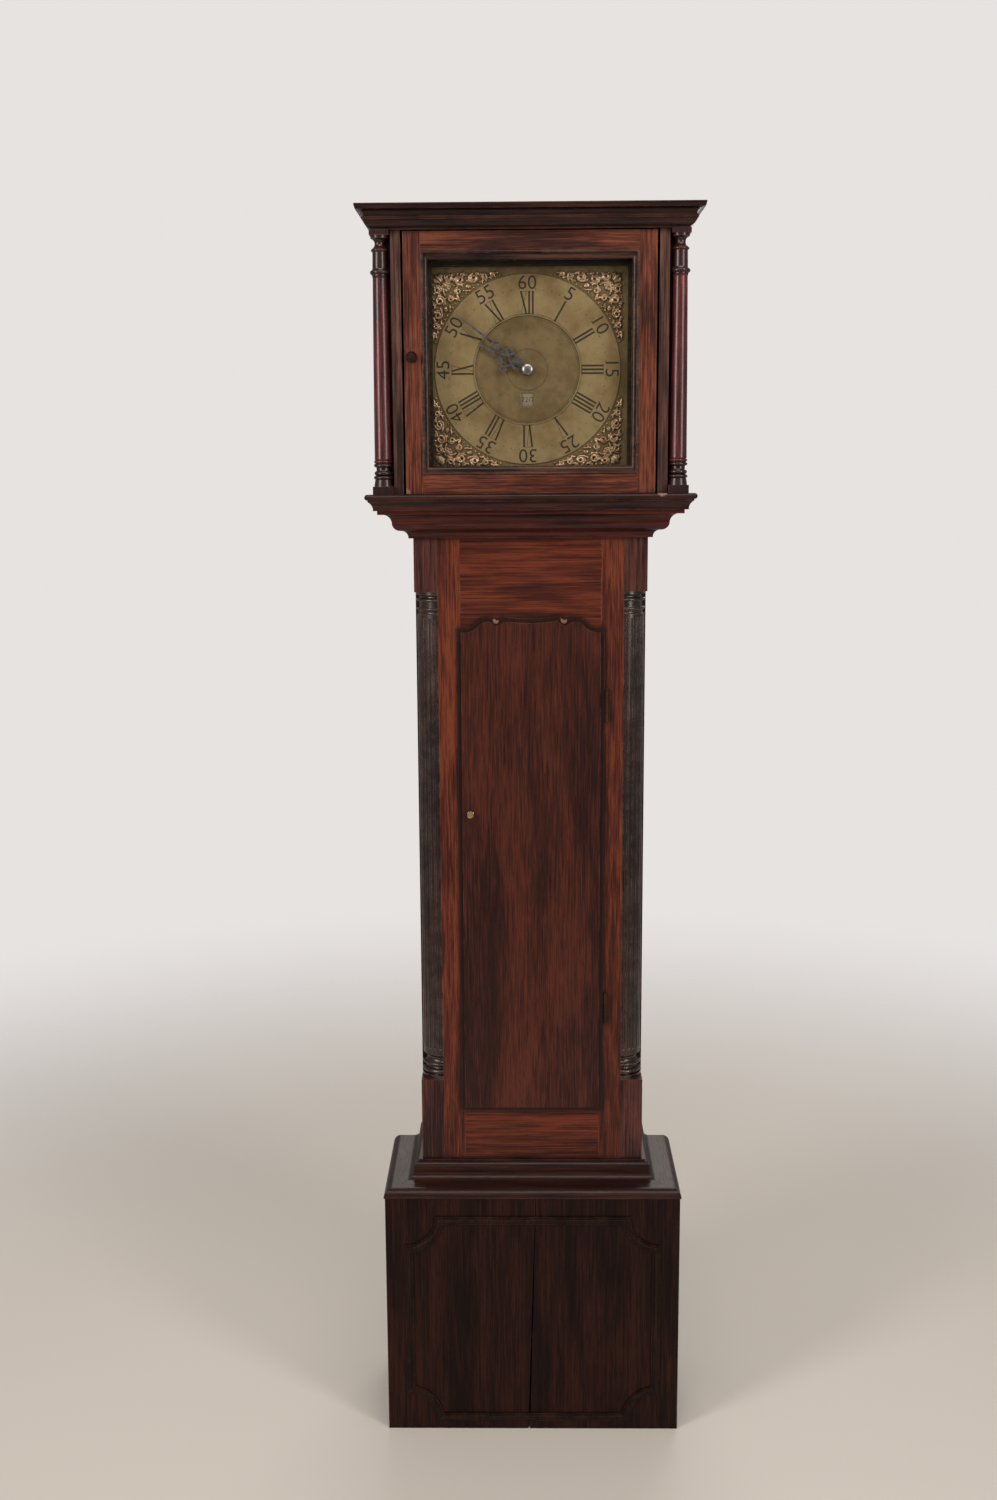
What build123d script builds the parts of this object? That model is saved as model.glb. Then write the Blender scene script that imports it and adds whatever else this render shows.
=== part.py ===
from build123d import *
import math
import os

os.makedirs("parts", exist_ok=True)

# Longcase clock with a square brass dial, in millimetres.
# Front faces -Y, +X is right, +Z is up; the origin is the middle of the footprint, on the floor.

# Case, overall
trunk_width = 364.6
trunk_depth = 160.0
cornice_out = 75.2
base_out = 59.2
hood_out = 47.7
base_height = 413.0
base_moulding_height = 44.0
trunk_height = 1025.0
throat_height = 43.5
hood_base_height = 24.5
hood_height = 385.0
cornice_height = 35.0

# Boards and joints
side_board = 16.0
front_board = 20.0
back_board = 15.0
hood_board = 14.0
joint_gap = 0.2
edge_round = 0.8

# Base front
split_top_x = 5.6
split_foot_x = -6.0
split_top_width = 1.2
split_foot_width = 3.2
panel_half = 210.0
panel_bottom = 16.0
panel_top = 381.0
panel_corner_radius = 50.0
panel_strip = 13.0
panel_strip_rise = 5.0

# Trunk front and quarter columns
stile_width = 29.3
corner_size = 36.3
block_bottom_height = 137.0
block_top_height = 84.0
capital_height = 36.0
column_base_height = 40.0
shaft_inset = 2.0
flute_count = 6
flute_radius = 2.7

# Trunk door
door_bottom = 542.0
door_shoulder = 1342.0
door_crown = 18.5
door_sag = 4.0
door_lobe_x = 69.0
door_cusp_x = 53.0
door_cusp_drop = 7.0
door_top_rebate = 8.0
lip_cover = 8.0
lip_proud = 8.0
lip_step = 3.6
lip_edge_width = 7.0
door_gap = 1.8
rattle = 0.3
trunk_door_thickness = 20.0
trunk_hinge_heights = (718.0, 1219.0)
trunk_hinge_length = 52.0
pin_radius = 1.4
knuckle_radius = 3.0
leaf_thickness = 1.2
leaf_width = 9.0
bore_clearance = 0.05
trunk_knob_height = 1044.5
trunk_knob_inset = 20.0

# Hood
hood_door_half = 188.6
hood_door_clear = 0.7
hood_door_head = 1.4
hood_stile_flat = 26.0
hood_rail_flat = 27.8
hood_door_thickness = 20.0
glazing_width = 11.0
glazing_rail_width = 13.5
glazing_bead = 4.0
glass_thickness = 2.6
glass_setback = 12.4
hood_post_gap = 3.4
hood_post_width = 14.6
hood_hinge_inset = 4.6
hood_leaf_length = 26.0
hood_knob_height = 1752.0
hood_knob_inset = 12.0
column_x = 223.0
column_out = 40.2
plinth_half = 15.5
plinth_height = 12.0
abacus_half = 14.5
abacus_height = 7.0
notch_gap = 1.0
mask_half_width = 147.5
mask_bottom = 1585.9
mask_top = 1886.5
mask_thickness = 8.0
top_board = 10.0

# Dial and hands
dial_x = -4.0
dial_z = 1735.3
dial_out = 8.0
dial_half = 152.5
dial_thickness = 1.8
dial_foot_radius = 3.0
ring_radius = 141.0
ring_inner_radius = 80.0
ring_thickness = 2.0
date_drop = 44.0
date_window_width = 18.3
date_window_height = 20.5
date_ring_width = 26.0
spandrel_leg = 104.0
spandrel_margin = 8.5
spandrel_thickness = 3.4
minute_hand_length = 136.0
hour_hand_length = 84.0
minute_hand_angle = 307.0
hour_hand_angle = 297.0
hand_thickness = 1.4

# Movement
plate_half_width = 78.0
plate_rise = 100.0
plate_drop = 72.0
plate_thickness = 2.5
dial_to_plate = 38.0
plate_gap = 62.0
seat_thickness = 18.0
arbor_radius = 2.0
pivot_radius = 1.5
great_module = 1.2
centre_module = 1.0
third_module = 0.9
hour_module = 0.8
great_teeth = 60
centre_pinion_teeth = 12
centre_teeth = 60
third_pinion_teeth = 8
third_teeth = 56
escape_pinion_teeth = 7
escape_teeth = 30
escape_radius = 20.0
cannon_teeth = 36
minute_pinion_teeth = 6
hour_teeth = 72
pin_pinion_teeth = 8
pin_teeth = 56
fly_pinion_teeth = 7
great_x = 38.5
wheel_thickness = 2.0
great_wheel_thickness = 3.0
pinion_overhang = 2.0
great_wheel_at = 8.1
third_wheel_at = 16.1
pin_wheel_at = 20.1
escape_wheel_at = 38.1
strike_wheel_at = 42.1
centre_wheel_at = 52.1
fly_vanes_at = 60.1
chain_at = 31.0
pillar_inset = 8.0
upper_pillar_x = 54.0
stud_length = 20.0
dial_foot_inset_x = 20.0
dial_foot_inset_z = 14.0
crutch_gap = 6.0
stand_rise = 36.0
stand_foot_height = 10.0
stand_bar = 6.0
head_clearance = 12.0
nut_radius = 9.0
nut_height = 10.0
rod_tail = 30.0
pin_rim = 2.4
lifting_pin_radius = 1.2
lifting_pin_length = 7.0
vane_width = 16.0
vane_thickness = 1.0
vane_turn = 30.0
stirrup_thickness = 6.0
stirrup_half_width = 5.0
stirrup_head = 16.0
weight_edge_round = 3.0
chain_radius = 15.0
chain_thickness = 4.0
sprocket_width = 14.0
anchor_rise = 80.6
pendulum_length = 994.0
pendulum_behind_plate = 25.5
bob_radius = 55.0
bob_thickness = 26.0
rod_radius = 2.5
bell_radius = 45.0
bell_x = -20.0
weight_radius = 32.0
weight_height = 190.0
pulley_z = 1330.0
ring_weight_z = 820.0
ring_weight_lean = 39.0

# Planes and levels that follow from them
half_trunk = trunk_width / 2
back_y = (trunk_depth + cornice_out) / 2
face_y = back_y - trunk_depth
mitre_reach = half_trunk + face_y
base_half = half_trunk + base_out
hood_half = half_trunk + hood_out
base_face_y = face_y - base_out
hood_face_y = face_y - hood_out
backboard_y = back_y - back_board
base_top = base_height
trunk_bottom = base_top + base_moulding_height
throat_bottom = trunk_bottom + trunk_height
hood_bottom = throat_bottom + throat_height
hood_floor = hood_bottom + hood_base_height
cornice_bottom = hood_floor + hood_height
clock_top = cornice_bottom + cornice_height
corner_x = half_trunk - corner_size
corner_y = face_y + corner_size
lip_half = corner_x - stile_width
core_half = lip_half - lip_cover
opening_half = core_half + door_gap
core_bottom = door_bottom + lip_cover
core_top = door_shoulder - door_top_rebate
hood_inner = hood_half - hood_board
dial_y = face_y - dial_out
dial_back = dial_y + dial_thickness
front_plate_y = dial_back + dial_to_plate
movement_y = front_plate_y + plate_thickness
back_plate_y = movement_y + plate_gap
seat_top = dial_z - plate_drop
cheek_top = seat_top - seat_thickness
pendulum_y = back_plate_y + plate_thickness + pendulum_behind_plate
lip_back = face_y - rattle
lip_front = face_y - lip_proud
hinge_y = face_y - knuckle_radius - 2 * rattle
hinge_x = lip_half + knuckle_radius + rattle


def facing(y, x=0.0, z=0.0):
    """Upright plane at depth y that faces the front, so an extrusion comes forward."""
    return Plane(origin=(x, y, z), x_dir=(1, 0, 0), z_dir=(0, -1, 0))


def slab(x, y, z, mode=Mode.ADD):
    """Adds a block between two limits on each axis to the part in work."""
    spans = [sorted(limits) for limits in (x, y, z)]
    with Locations([tuple((low + high) / 2 for low, high in spans)]):
        Box(*[high - low for low, high in spans], mode=mode)


def save(part, label):
    """Labels a finished piece and writes its file."""
    part.label = label
    export_step(part, f"parts/{label}.step")


# Mouldings: a profile is drawn outwards from the trunk's face and upwards from the floor.


def mitred(profile, reach):
    """Front, left and right lengths of one moulding, mitred at the two front corners."""
    front_section = Plane(origin=(0, face_y, 0), x_dir=(0, -1, 0), z_dir=(-1, 0, 0))
    side_section = Plane(origin=(half_trunk, back_y, 0), x_dir=(1, 0, 0), z_dir=(0, -1, 0))
    mitre = Plane(origin=(mitre_reach, 0, 0), z_dir=(1, 1, 0))
    with BuildPart() as side:
        with BuildSketch(side_section):
            add(profile)
        extrude(amount=trunk_depth + cornice_out)
        split(bisect_by=mitre.offset(joint_gap / 2), keep=Keep.TOP)
    with BuildPart() as front:
        with BuildSketch(front_section):
            add(profile)
        extrude(amount=reach, both=True)
        split(bisect_by=mitre.offset(-joint_gap / 2), keep=Keep.BOTTOM)
        split(bisect_by=Plane(origin=(-mitre_reach, 0, 0), z_dir=(-1, 1, 0)).offset(-joint_gap / 2),
              keep=Keep.BOTTOM)
    with BuildPart() as lengths:
        add(front.part)
        add(side.part)
        add(side.part.mirror(Plane.YZ))
    return lengths.part


base_nose = base_out + 1.8
bead_out = 13.3
ledge_height = 14.0
with BuildSketch() as base_profile:
    with BuildLine():
        nose_top = Line((0, base_top), (base_nose, base_top))
        nose = Line(nose_top @ 1, (base_nose, base_top + 1.5))
        ovolo = RadiusArc(nose @ 1, (base_nose - 13, base_top + ledge_height), -12.8)
        ledge = Line(ovolo @ 1, (bead_out + 11, base_top + ledge_height))
        cove = RadiusArc(ledge @ 1, (bead_out, base_top + ledge_height + 10.5), 10.8)
        rise = Line(cove @ 1, (bead_out, base_top + 33))
        bead = RadiusArc(rise @ 1, (bead_out - 8, base_top + 41.5), -8.4)
        fillet_top = Line(bead @ 1, (bead_out - 8, trunk_bottom))
        cap = Line(fillet_top @ 1, (0, trunk_bottom))
        Line(cap @ 1, nose_top @ 0)
    make_face()
base_moulding = mitred(base_profile.sketch, base_half + base_nose)
save(base_moulding, "base_moulding")

throat_fillet = hood_out + 3.3
with BuildSketch() as throat_profile:
    with BuildLine():
        foot = Line((0, throat_bottom), (7, throat_bottom))
        foot_edge = Line(foot @ 1, (7, throat_bottom + 2.2))
        small_cove = RadiusArc(foot_edge @ 1, (17.5, throat_bottom + 12), 11)
        lip_edge = Line(small_cove @ 1, (18.5, throat_bottom + 12))
        swell = RadiusArc(lip_edge @ 1, (30.5, throat_bottom + 23), -12.5)
        hollow = RadiusArc(swell @ 1, (42.5, throat_bottom + 37.5), 14.5)
        under = Line(hollow @ 1, (throat_fillet, throat_bottom + 37.5))
        edge = Line(under @ 1, (throat_fillet, hood_bottom))
        seat = Line(edge @ 1, (0, hood_bottom))
        Line(seat @ 1, foot @ 0)
    make_face()
throat_moulding = mitred(throat_profile.sketch, half_trunk + throat_fillet)
save(throat_moulding, "throat_moulding")

hood_base_inner = 12.0
hood_base_nose = hood_out + 19.0
with BuildSketch() as hood_base_profile:
    with BuildLine():
        sole = Line((hood_base_inner, hood_bottom), (hood_out + 9, hood_bottom))
        sole_edge = Line(sole @ 1, (hood_out + 9, hood_bottom + 2.5))
        scoop = RadiusArc(sole_edge @ 1, (hood_base_nose - 2.6, hood_floor - 11), 14)
        step = Line(scoop @ 1, (hood_base_nose - 2.6, hood_floor - 8.5))
        brow = Line(step @ 1, (hood_base_nose - 1.2, hood_floor - 8.5))
        nosing = RadiusArc(brow @ 1, (hood_base_nose - 1.2, hood_floor), -4.6)
        deck = Line(nosing @ 1, (hood_base_inner, hood_floor))
        Line(deck @ 1, sole @ 0)
    make_face()
hood_base_run = mitred(hood_base_profile.sketch, half_trunk + hood_base_nose)

with BuildSketch() as cornice_profile:
    with BuildLine():
        soffit = Line((hood_out, cornice_bottom), (hood_out + 5.8, cornice_bottom))
        soffit_edge = Line(soffit @ 1, (hood_out + 5.8, cornice_bottom + 2.2))
        echinus = RadiusArc(soffit_edge @ 1, (hood_out + 15.2, cornice_bottom + 13.6), -13.5)
        nib = Line(echinus @ 1, (hood_out + 17, cornice_bottom + 13.6))
        band = Line(nib @ 1, (hood_out + 17, cornice_bottom + 17.4))
        quirk = Line(band @ 1, (hood_out + 14.4, cornice_bottom + 17.4))
        quirk_edge = Line(quirk @ 1, (hood_out + 14.4, cornice_bottom + 19.2))
        cavetto = RadiusArc(quirk_edge @ 1, (hood_out + 24, cornice_bottom + 27.2), 9.6)
        corona_foot = Line(cavetto @ 1, (cornice_out - 1.8, cornice_bottom + 27.2))
        corona = Line(corona_foot @ 1, (cornice_out, clock_top - 1.2))
        crown_edge = Line(corona @ 1, (cornice_out - 0.6, clock_top))
        crown = Line(crown_edge @ 1, (hood_out, clock_top))
        Line(crown @ 1, soffit @ 0)
    make_face()
hood_cornice = mitred(cornice_profile.sketch, half_trunk + cornice_out)
save(hood_cornice, "hood_cornice")

# Base: front of two boards with a tapering split, a raised panel edging, sides and floor

with BuildPart() as base_front:
    slab((-base_half, base_half), (base_face_y, base_face_y + front_board), (0, base_top))
    with BuildSketch(facing(base_face_y + front_board)):
        with BuildLine():
            Polyline((split_foot_x - split_foot_width / 2, 0), (split_foot_x + split_foot_width / 2, 0),
                     (split_top_x + split_top_width / 2, base_top),
                     (split_top_x - split_top_width / 2, base_top), close=True)
        make_face()
    extrude(amount=front_board, mode=Mode.SUBTRACT)
    corners = base_front.edges().filter_by(Axis.Z).group_by(Axis.Y)[0]
    fillet([edge for edge in corners if abs(edge.center().X) > panel_half], edge_round)
save(base_front.part, "base_front")


def panel_outline(inset):
    """Panel outline with hollow quarter-round corners, drawn in by inset."""
    half = panel_half - inset
    low = panel_bottom + inset
    high = panel_top - inset
    hollow_radius = panel_corner_radius + inset
    with BuildSketch() as outline:
        with Locations((0, (low + high) / 2)):
            Rectangle(2 * half, high - low)
        with Locations(*[(x, z) for x in (-panel_half, panel_half) for z in (panel_bottom, panel_top)]):
            Circle(hollow_radius, mode=Mode.SUBTRACT)
    return outline.sketch


with BuildPart() as base_panel_moulding:
    with BuildSketch(facing(base_face_y)):
        add(panel_outline(0))
        add(panel_outline(panel_strip), mode=Mode.SUBTRACT)
    extrude(amount=panel_strip_rise / 2)
    with BuildSketch(facing(base_face_y - panel_strip_rise / 2)):
        add(panel_outline(panel_strip / 4))
        add(panel_outline(panel_strip * 3 / 4), mode=Mode.SUBTRACT)
    extrude(amount=panel_strip_rise / 2)
    strip_edges = base_panel_moulding.faces().sort_by(Axis.Y)[0].edges()
    fillet(strip_edges, panel_strip_rise / 2 - 0.1)
save(base_panel_moulding.part, "base_panel_moulding")

with BuildPart() as base_sides:
    for side in (-1, 1):
        slab((side * (base_half - side_board), side * base_half), (base_face_y + front_board, back_y),
             (0, base_top))
save(base_sides.part, "base_sides")

floor_height = 30.0
floor_thickness = 12.0
with BuildPart() as base_bottom_board:
    slab((side_board - base_half, base_half - side_board), (base_face_y + front_board, backboard_y),
         (floor_height, floor_height + floor_thickness))
save(base_bottom_board.part, "base_bottom_board")

# Backboard: one height from floor to hood, wide in the base and again behind the hood

hood_back_half = hood_inner - 1.0
backboard_top = cornice_bottom + 5.0
with BuildPart() as backboard:
    slab((side_board - base_half, base_half - side_board), (backboard_y, back_y), (0, base_top))
    slab((side_board - half_trunk, half_trunk - side_board), (backboard_y, back_y), (0, backboard_top))
    slab((-hood_back_half, hood_back_half), (backboard_y, back_y), (hood_floor + 1.0, backboard_top))
save(backboard.part, "backboard")

# Trunk carcass

side_foot = base_top - 60.0
with BuildPart() as trunk_sides:
    for side in (-1, 1):
        inner = side * (half_trunk - side_board)
        outer = side * half_trunk
        slab((inner, outer), (corner_y, backboard_y), (side_foot, cheek_top))
        slab((inner, outer), (backboard_y, back_y), (base_top, hood_floor + 1.0))
save(trunk_sides.part, "trunk_sides")

with BuildPart() as trunk_stiles:
    for side in (-1, 1):
        slab((side * opening_half, side * corner_x), (face_y, face_y + front_board),
             (trunk_bottom, throat_bottom))
    long_edges = trunk_stiles.edges().filter_by(Axis.Z).group_by(Axis.Y)[0]
    fillet(long_edges, edge_round / 2)
    for height in trunk_hinge_heights:
        slab((opening_half, hinge_x + leaf_thickness / 2), (face_y, face_y + leaf_thickness),
             (height - trunk_hinge_length / 2, height + trunk_hinge_length / 2), mode=Mode.SUBTRACT)
save(trunk_stiles.part, "trunk_stiles")

opening_bottom = core_bottom - door_gap
opening_top = core_top + door_gap
with BuildPart() as trunk_rails:
    slab((-opening_half, opening_half), (face_y, face_y + front_board), (trunk_bottom, opening_bottom))
    slab((-opening_half, opening_half), (face_y, face_y + front_board), (opening_top, throat_bottom))
save(trunk_rails.part, "trunk_rails")

with BuildPart() as corner_blocks:
    for side in (-1, 1):
        slab((side * corner_x, side * half_trunk), (face_y, corner_y),
             (trunk_bottom, trunk_bottom + block_bottom_height))
        slab((side * corner_x, side * half_trunk), (face_y, corner_y),
             (throat_bottom - block_top_height, throat_bottom))
    fillet(corner_blocks.edges().filter_by(Axis.Z), edge_round)
save(corner_blocks.part, "corner_blocks")

# Quarter columns: a turned outline through a quarter turn, with flutes along the shaft

column_foot = trunk_bottom + block_bottom_height
column_head = throat_bottom - block_top_height
shaft_bottom = column_foot + column_base_height
shaft_top = column_head - capital_height
shaft_radius = corner_size - shaft_inset
flute_foot = shaft_bottom + 12.0
flute_head = shaft_top - 6.0
flute_centre_radius = shaft_radius + 0.9


def turned_outline(steps):
    """Half section of a turning: (radius, height, kind) steps, joined by lines or round arcs."""
    with BuildSketch() as outline:
        with BuildLine():
            Line((0, steps[0][1]), (steps[0][0], steps[0][1]))
            for (radius, height, kind), (next_radius, next_height, _) in zip(steps, steps[1:]):
                rise = next_height - height
                if kind == "torus":
                    middle = (max(radius, next_radius) + rise * 0.42, height + rise / 2)
                    ThreePointArc((radius, height), middle, (next_radius, next_height))
                elif kind == "cove":
                    middle = (min(radius, next_radius) - rise * 0.25, height + rise / 2)
                    ThreePointArc((radius, height), middle, (next_radius, next_height))
                else:
                    Line((radius, height), (next_radius, next_height))
            Line((steps[-1][0], steps[-1][1]), (0, steps[-1][1]))
            Line((0, steps[-1][1]), (0, steps[0][1]))
        make_face()
    return outline.sketch


ring_steps = [
    (corner_size, column_foot, "line"),
    (corner_size, column_foot + 6, "line"),
    (shaft_radius - 2, column_foot + 6, "line"),
    (shaft_radius - 2, column_foot + 7, "torus"),
    (shaft_radius - 2, column_foot + 16, "line"),
    (shaft_radius - 3, column_foot + 16, "cove"),
    (shaft_radius - 2, column_foot + 22, "line"),
    (shaft_radius - 0.5, column_foot + 22, "torus"),
    (shaft_radius - 0.5, column_foot + 27, "line"),
    (shaft_radius - 2, column_foot + 27, "cove"),
    (shaft_radius, shaft_bottom, "line"),
    (shaft_radius, shaft_top, "cove"),
    (shaft_radius - 0.6, shaft_top + 6, "line"),
    (shaft_radius - 0.6, shaft_top + 6.5, "torus"),
    (shaft_radius - 0.6, shaft_top + 11, "line"),
    (shaft_radius - 3, shaft_top + 11, "line"),
    (shaft_radius - 3, shaft_top + 20, "line"),
    (shaft_radius - 0.4, shaft_top + 20, "torus"),
    (shaft_radius - 0.4, shaft_top + 25, "line"),
    (shaft_radius - 2, shaft_top + 25, "cove"),
    (corner_size - 0.6, column_head - 5, "line"),
    (corner_size - 0.6, column_head, "line"),
]
with BuildPart() as quarter_column_right:
    with BuildSketch(Plane.XZ):
        add(turned_outline(ring_steps))
    revolve(axis=Axis.Z, revolution_arc=90)
    flute_step = 90 / flute_count
    for index in range(flute_count):
        angle = math.radians((index + 0.5) * flute_step)
        flute_x = flute_centre_radius * math.cos(angle)
        flute_y = flute_centre_radius * math.sin(angle)
        with Locations((flute_x, flute_y, (flute_foot + flute_head) / 2)):
            Cylinder(flute_radius, flute_head - flute_foot, mode=Mode.SUBTRACT)
        with Locations((flute_x, flute_y, flute_foot)):
            Sphere(flute_radius, mode=Mode.SUBTRACT)
with BuildPart() as quarter_columns:
    right_column = quarter_column_right.part.rotate(Axis.Z, -90)
    right_column = right_column.moved(Location((corner_x, corner_y, 0)))
    add(right_column)
    add(right_column.mirror(Plane.YZ))
save(quarter_columns.part, "quarter_columns")

# Seat board, notched behind for the pendulum, bored for the falls of the chain

seat_front = face_y + front_board + 4.0
seat_back = back_plate_y + plate_thickness + 6.0
sprocket_y = movement_y + chain_at
with BuildPart() as seat_board:
    slab((-half_trunk, half_trunk), (seat_front, seat_back), (cheek_top, seat_top))
    slot_half = great_x + chain_radius + 12.0
    slab((dial_x - slot_half, dial_x + slot_half), (sprocket_y - 24.0, sprocket_y + 12.0),
         (cheek_top, seat_top), mode=Mode.SUBTRACT)
save(seat_board.part, "seat_board")

# Trunk door: one board with a rebated lip and a shaped head


def door_outline(inset, foot):
    """Front outline of the trunk door, drawn in by inset."""
    with BuildSketch() as outline:
        with BuildLine():
            Polyline((-lip_half, door_shoulder), (-lip_half, foot), (lip_half, foot),
                     (lip_half, door_shoulder))
            crown = door_shoulder + door_crown
            cusp = crown - door_cusp_drop
            for side in (-1, 1):
                shoulder_end = (side * (lip_half - 14), door_shoulder)
                turn = (side * (door_lobe_x + 18.5), door_shoulder + 8.6)
                lobe_foot = (side * door_cusp_x, cusp)
                crest = (side * (door_cusp_x - 7), crown)
                Line((side * lip_half, door_shoulder), shoulder_end)
                ThreePointArc(shoulder_end, (side * (lip_half - 22.5), door_shoulder + 2.8), turn)
                ThreePointArc(turn, (side * door_lobe_x, crown - 1.5), lobe_foot)
                ThreePointArc(lobe_foot, (side * (door_cusp_x - 4.4), cusp + 2.6), crest)
            ThreePointArc((-(door_cusp_x - 7), crown), (0, crown - door_sag), (door_cusp_x - 7, crown))
        make_face()
        if inset:
            offset(amount=-inset, kind=Kind.INTERSECTION)
    return outline.sketch


with BuildPart() as trunk_door:
    with BuildSketch(facing(lip_back)):
        add(door_outline(0, door_bottom))
    extrude(amount=lip_proud - rattle - lip_step)
    fillet(trunk_door.faces().sort_by(Axis.Y)[0].edges().filter_by(Axis.Z), 1.6)
    with BuildSketch(facing(lip_back)):
        add(door_outline(lip_edge_width, door_bottom))
    extrude(amount=lip_proud - rattle)
    slab((-core_half, core_half), (lip_back, lip_front + trunk_door_thickness), (core_bottom, core_top))
    for height in trunk_hinge_heights:
        slab((lip_half - leaf_width, lip_half), (lip_back - leaf_thickness, lip_back),
             (height - trunk_hinge_length / 2 - 0.1, height + trunk_hinge_length / 2 + 0.1),
             mode=Mode.SUBTRACT)
save(trunk_door.part, "trunk_door")

# Trunk door furniture: a small turned knob and two butt hinges let in under the lip


def turned(steps, place):
    """A turning along the normal of place, from (radius, height, kind) steps."""
    with BuildPart() as turning:
        with BuildSketch(Plane.XZ):
            add(turned_outline(steps))
        revolve(axis=Axis.Z)
    return turning.part.moved(place.location)


def knob_steps(ball_radius, neck_radius, neck_length):
    """Half section of a knob: rose, neck and flattened ball."""
    return [
        (ball_radius * 0.9, 0, "line"),
        (ball_radius * 0.9, 1.4, "line"),
        (neck_radius, 2.4, "cove"),
        (neck_radius, neck_length, "line"),
        (ball_radius * 0.55, neck_length + 0.8, "line"),
        (ball_radius, neck_length + ball_radius * 0.75, "line"),
        (ball_radius * 0.93, neck_length + ball_radius * 1.1, "line"),
        (ball_radius * 0.6, neck_length + ball_radius * 1.45, "line"),
        (0.1, neck_length + ball_radius * 1.55, "line"),
    ]


trunk_knob_radius = 5.5
trunk_knob_place = Plane(origin=(trunk_knob_inset - lip_half, lip_front, trunk_knob_height), z_dir=(0, -1, 0))
with BuildPart() as trunk_door_knob:
    add(turned(knob_steps(trunk_knob_radius, 2.4, 5.0), trunk_knob_place))
save(trunk_door_knob.part, "trunk_door_knob")

knuckle_length = trunk_hinge_length / 3
with BuildPart() as trunk_hinge_case_leaves:
    for height in trunk_hinge_heights:
        low = height - trunk_hinge_length / 2
        slab((opening_half, hinge_x + leaf_thickness / 2), (face_y, face_y + leaf_thickness),
             (low, low + trunk_hinge_length))
        for step in (0, 2):
            foot = low + step * knuckle_length
            slab((hinge_x - leaf_thickness / 2, hinge_x + leaf_thickness / 2), (hinge_y, face_y),
                 (foot, foot + knuckle_length - joint_gap))
            with Locations((hinge_x, hinge_y, foot + (knuckle_length - joint_gap) / 2)):
                Cylinder(knuckle_radius, knuckle_length - joint_gap)
        with Locations((hinge_x, hinge_y, height)):
            Cylinder(pin_radius, trunk_hinge_length)
save(trunk_hinge_case_leaves.part, "trunk_hinge_case_leaves")

with BuildPart() as trunk_hinge_door_leaves:
    for height in trunk_hinge_heights:
        low = height - trunk_hinge_length / 2
        slab((lip_half - leaf_width, lip_half), (lip_back - leaf_thickness, lip_back),
             (low, low + trunk_hinge_length))
        foot = low + knuckle_length + joint_gap
        slab((lip_half, hinge_x), (lip_back - leaf_thickness, lip_back),
             (foot, foot + knuckle_length - 3 * joint_gap))
        with Locations((hinge_x, hinge_y, foot + (knuckle_length - 3 * joint_gap) / 2)):
            Cylinder(knuckle_radius, knuckle_length - 3 * joint_gap)
            Cylinder(pin_radius + bore_clearance, knuckle_length, mode=Mode.SUBTRACT)
save(trunk_hinge_door_leaves.part, "trunk_hinge_door_leaves")

# Hood carcass

mask_back = dial_y - spandrel_thickness - 2 * rattle
mask_face = mask_back - mask_thickness
post_inner = hood_door_half + hood_post_gap
post_outer = post_inner + hood_post_width
column_y = face_y - column_out
notch_back = column_y + plinth_half + notch_gap
hood_wall_top = clock_top - top_board - 2.0
hood_door_bottom = hood_floor + hood_door_clear
hood_door_top = cornice_bottom - hood_door_head
hood_pivot_x = hood_door_half - hood_hinge_inset
hood_pivot_y = hood_face_y + hood_hinge_inset - 0.2
pivot_length = 4.0
leaf_span_x = (hood_pivot_x - hood_leaf_length + 4.0, hood_pivot_x + 4.0)
leaf_span_y = (hood_pivot_y - 3.4, hood_pivot_y + 5.0)

with BuildPart() as hood_base_moulding:
    add(hood_base_run)
    slab(leaf_span_x, leaf_span_y, (hood_floor - leaf_thickness, hood_floor), mode=Mode.SUBTRACT)
    with Locations((hood_pivot_x, hood_pivot_y, hood_floor - pivot_length)):
        Cylinder(pin_radius + rattle, 2 * pivot_length, mode=Mode.SUBTRACT)
save(hood_base_moulding.part, "hood_base_moulding")

with BuildPart() as hood_sides:
    for side in (-1, 1):
        slab((side * hood_inner, side * hood_half), (notch_back, back_y), (hood_floor, hood_wall_top))
        slab((side * post_outer, side * hood_inner), (notch_back, mask_face), (hood_floor, cornice_bottom))
save(hood_sides.part, "hood_sides")

with BuildPart() as hood_front_frame:
    for side in (-1, 1):
        slab((side * post_inner, side * post_outer), (hood_face_y, mask_face), (hood_floor, cornice_bottom))
    slab((-hood_half, hood_half), (hood_face_y, notch_back), (cornice_bottom, hood_wall_top))
    slab(leaf_span_x, leaf_span_y, (cornice_bottom, cornice_bottom + leaf_thickness), mode=Mode.SUBTRACT)
    with Locations((hood_pivot_x, hood_pivot_y, cornice_bottom + pivot_length)):
        Cylinder(pin_radius + rattle, 2 * pivot_length, mode=Mode.SUBTRACT)
save(hood_front_frame.part, "hood_front_frame")

with BuildPart() as hood_top_board:
    slab((-hood_half, hood_half), (hood_face_y, back_y), (hood_wall_top, hood_wall_top + top_board))
save(hood_top_board.part, "hood_top_board")

with BuildPart() as dial_mask:
    slab((-hood_inner, hood_inner), (mask_face, mask_back), (hood_floor, hood_wall_top))
    slab((-mask_half_width, mask_half_width), (mask_face, mask_back), (mask_bottom, mask_top),
         mode=Mode.SUBTRACT)
save(dial_mask.part, "dial_mask")

# Hood columns: plinth, turned base, tapering shaft, astragal, neck, echinus and abacus

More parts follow.
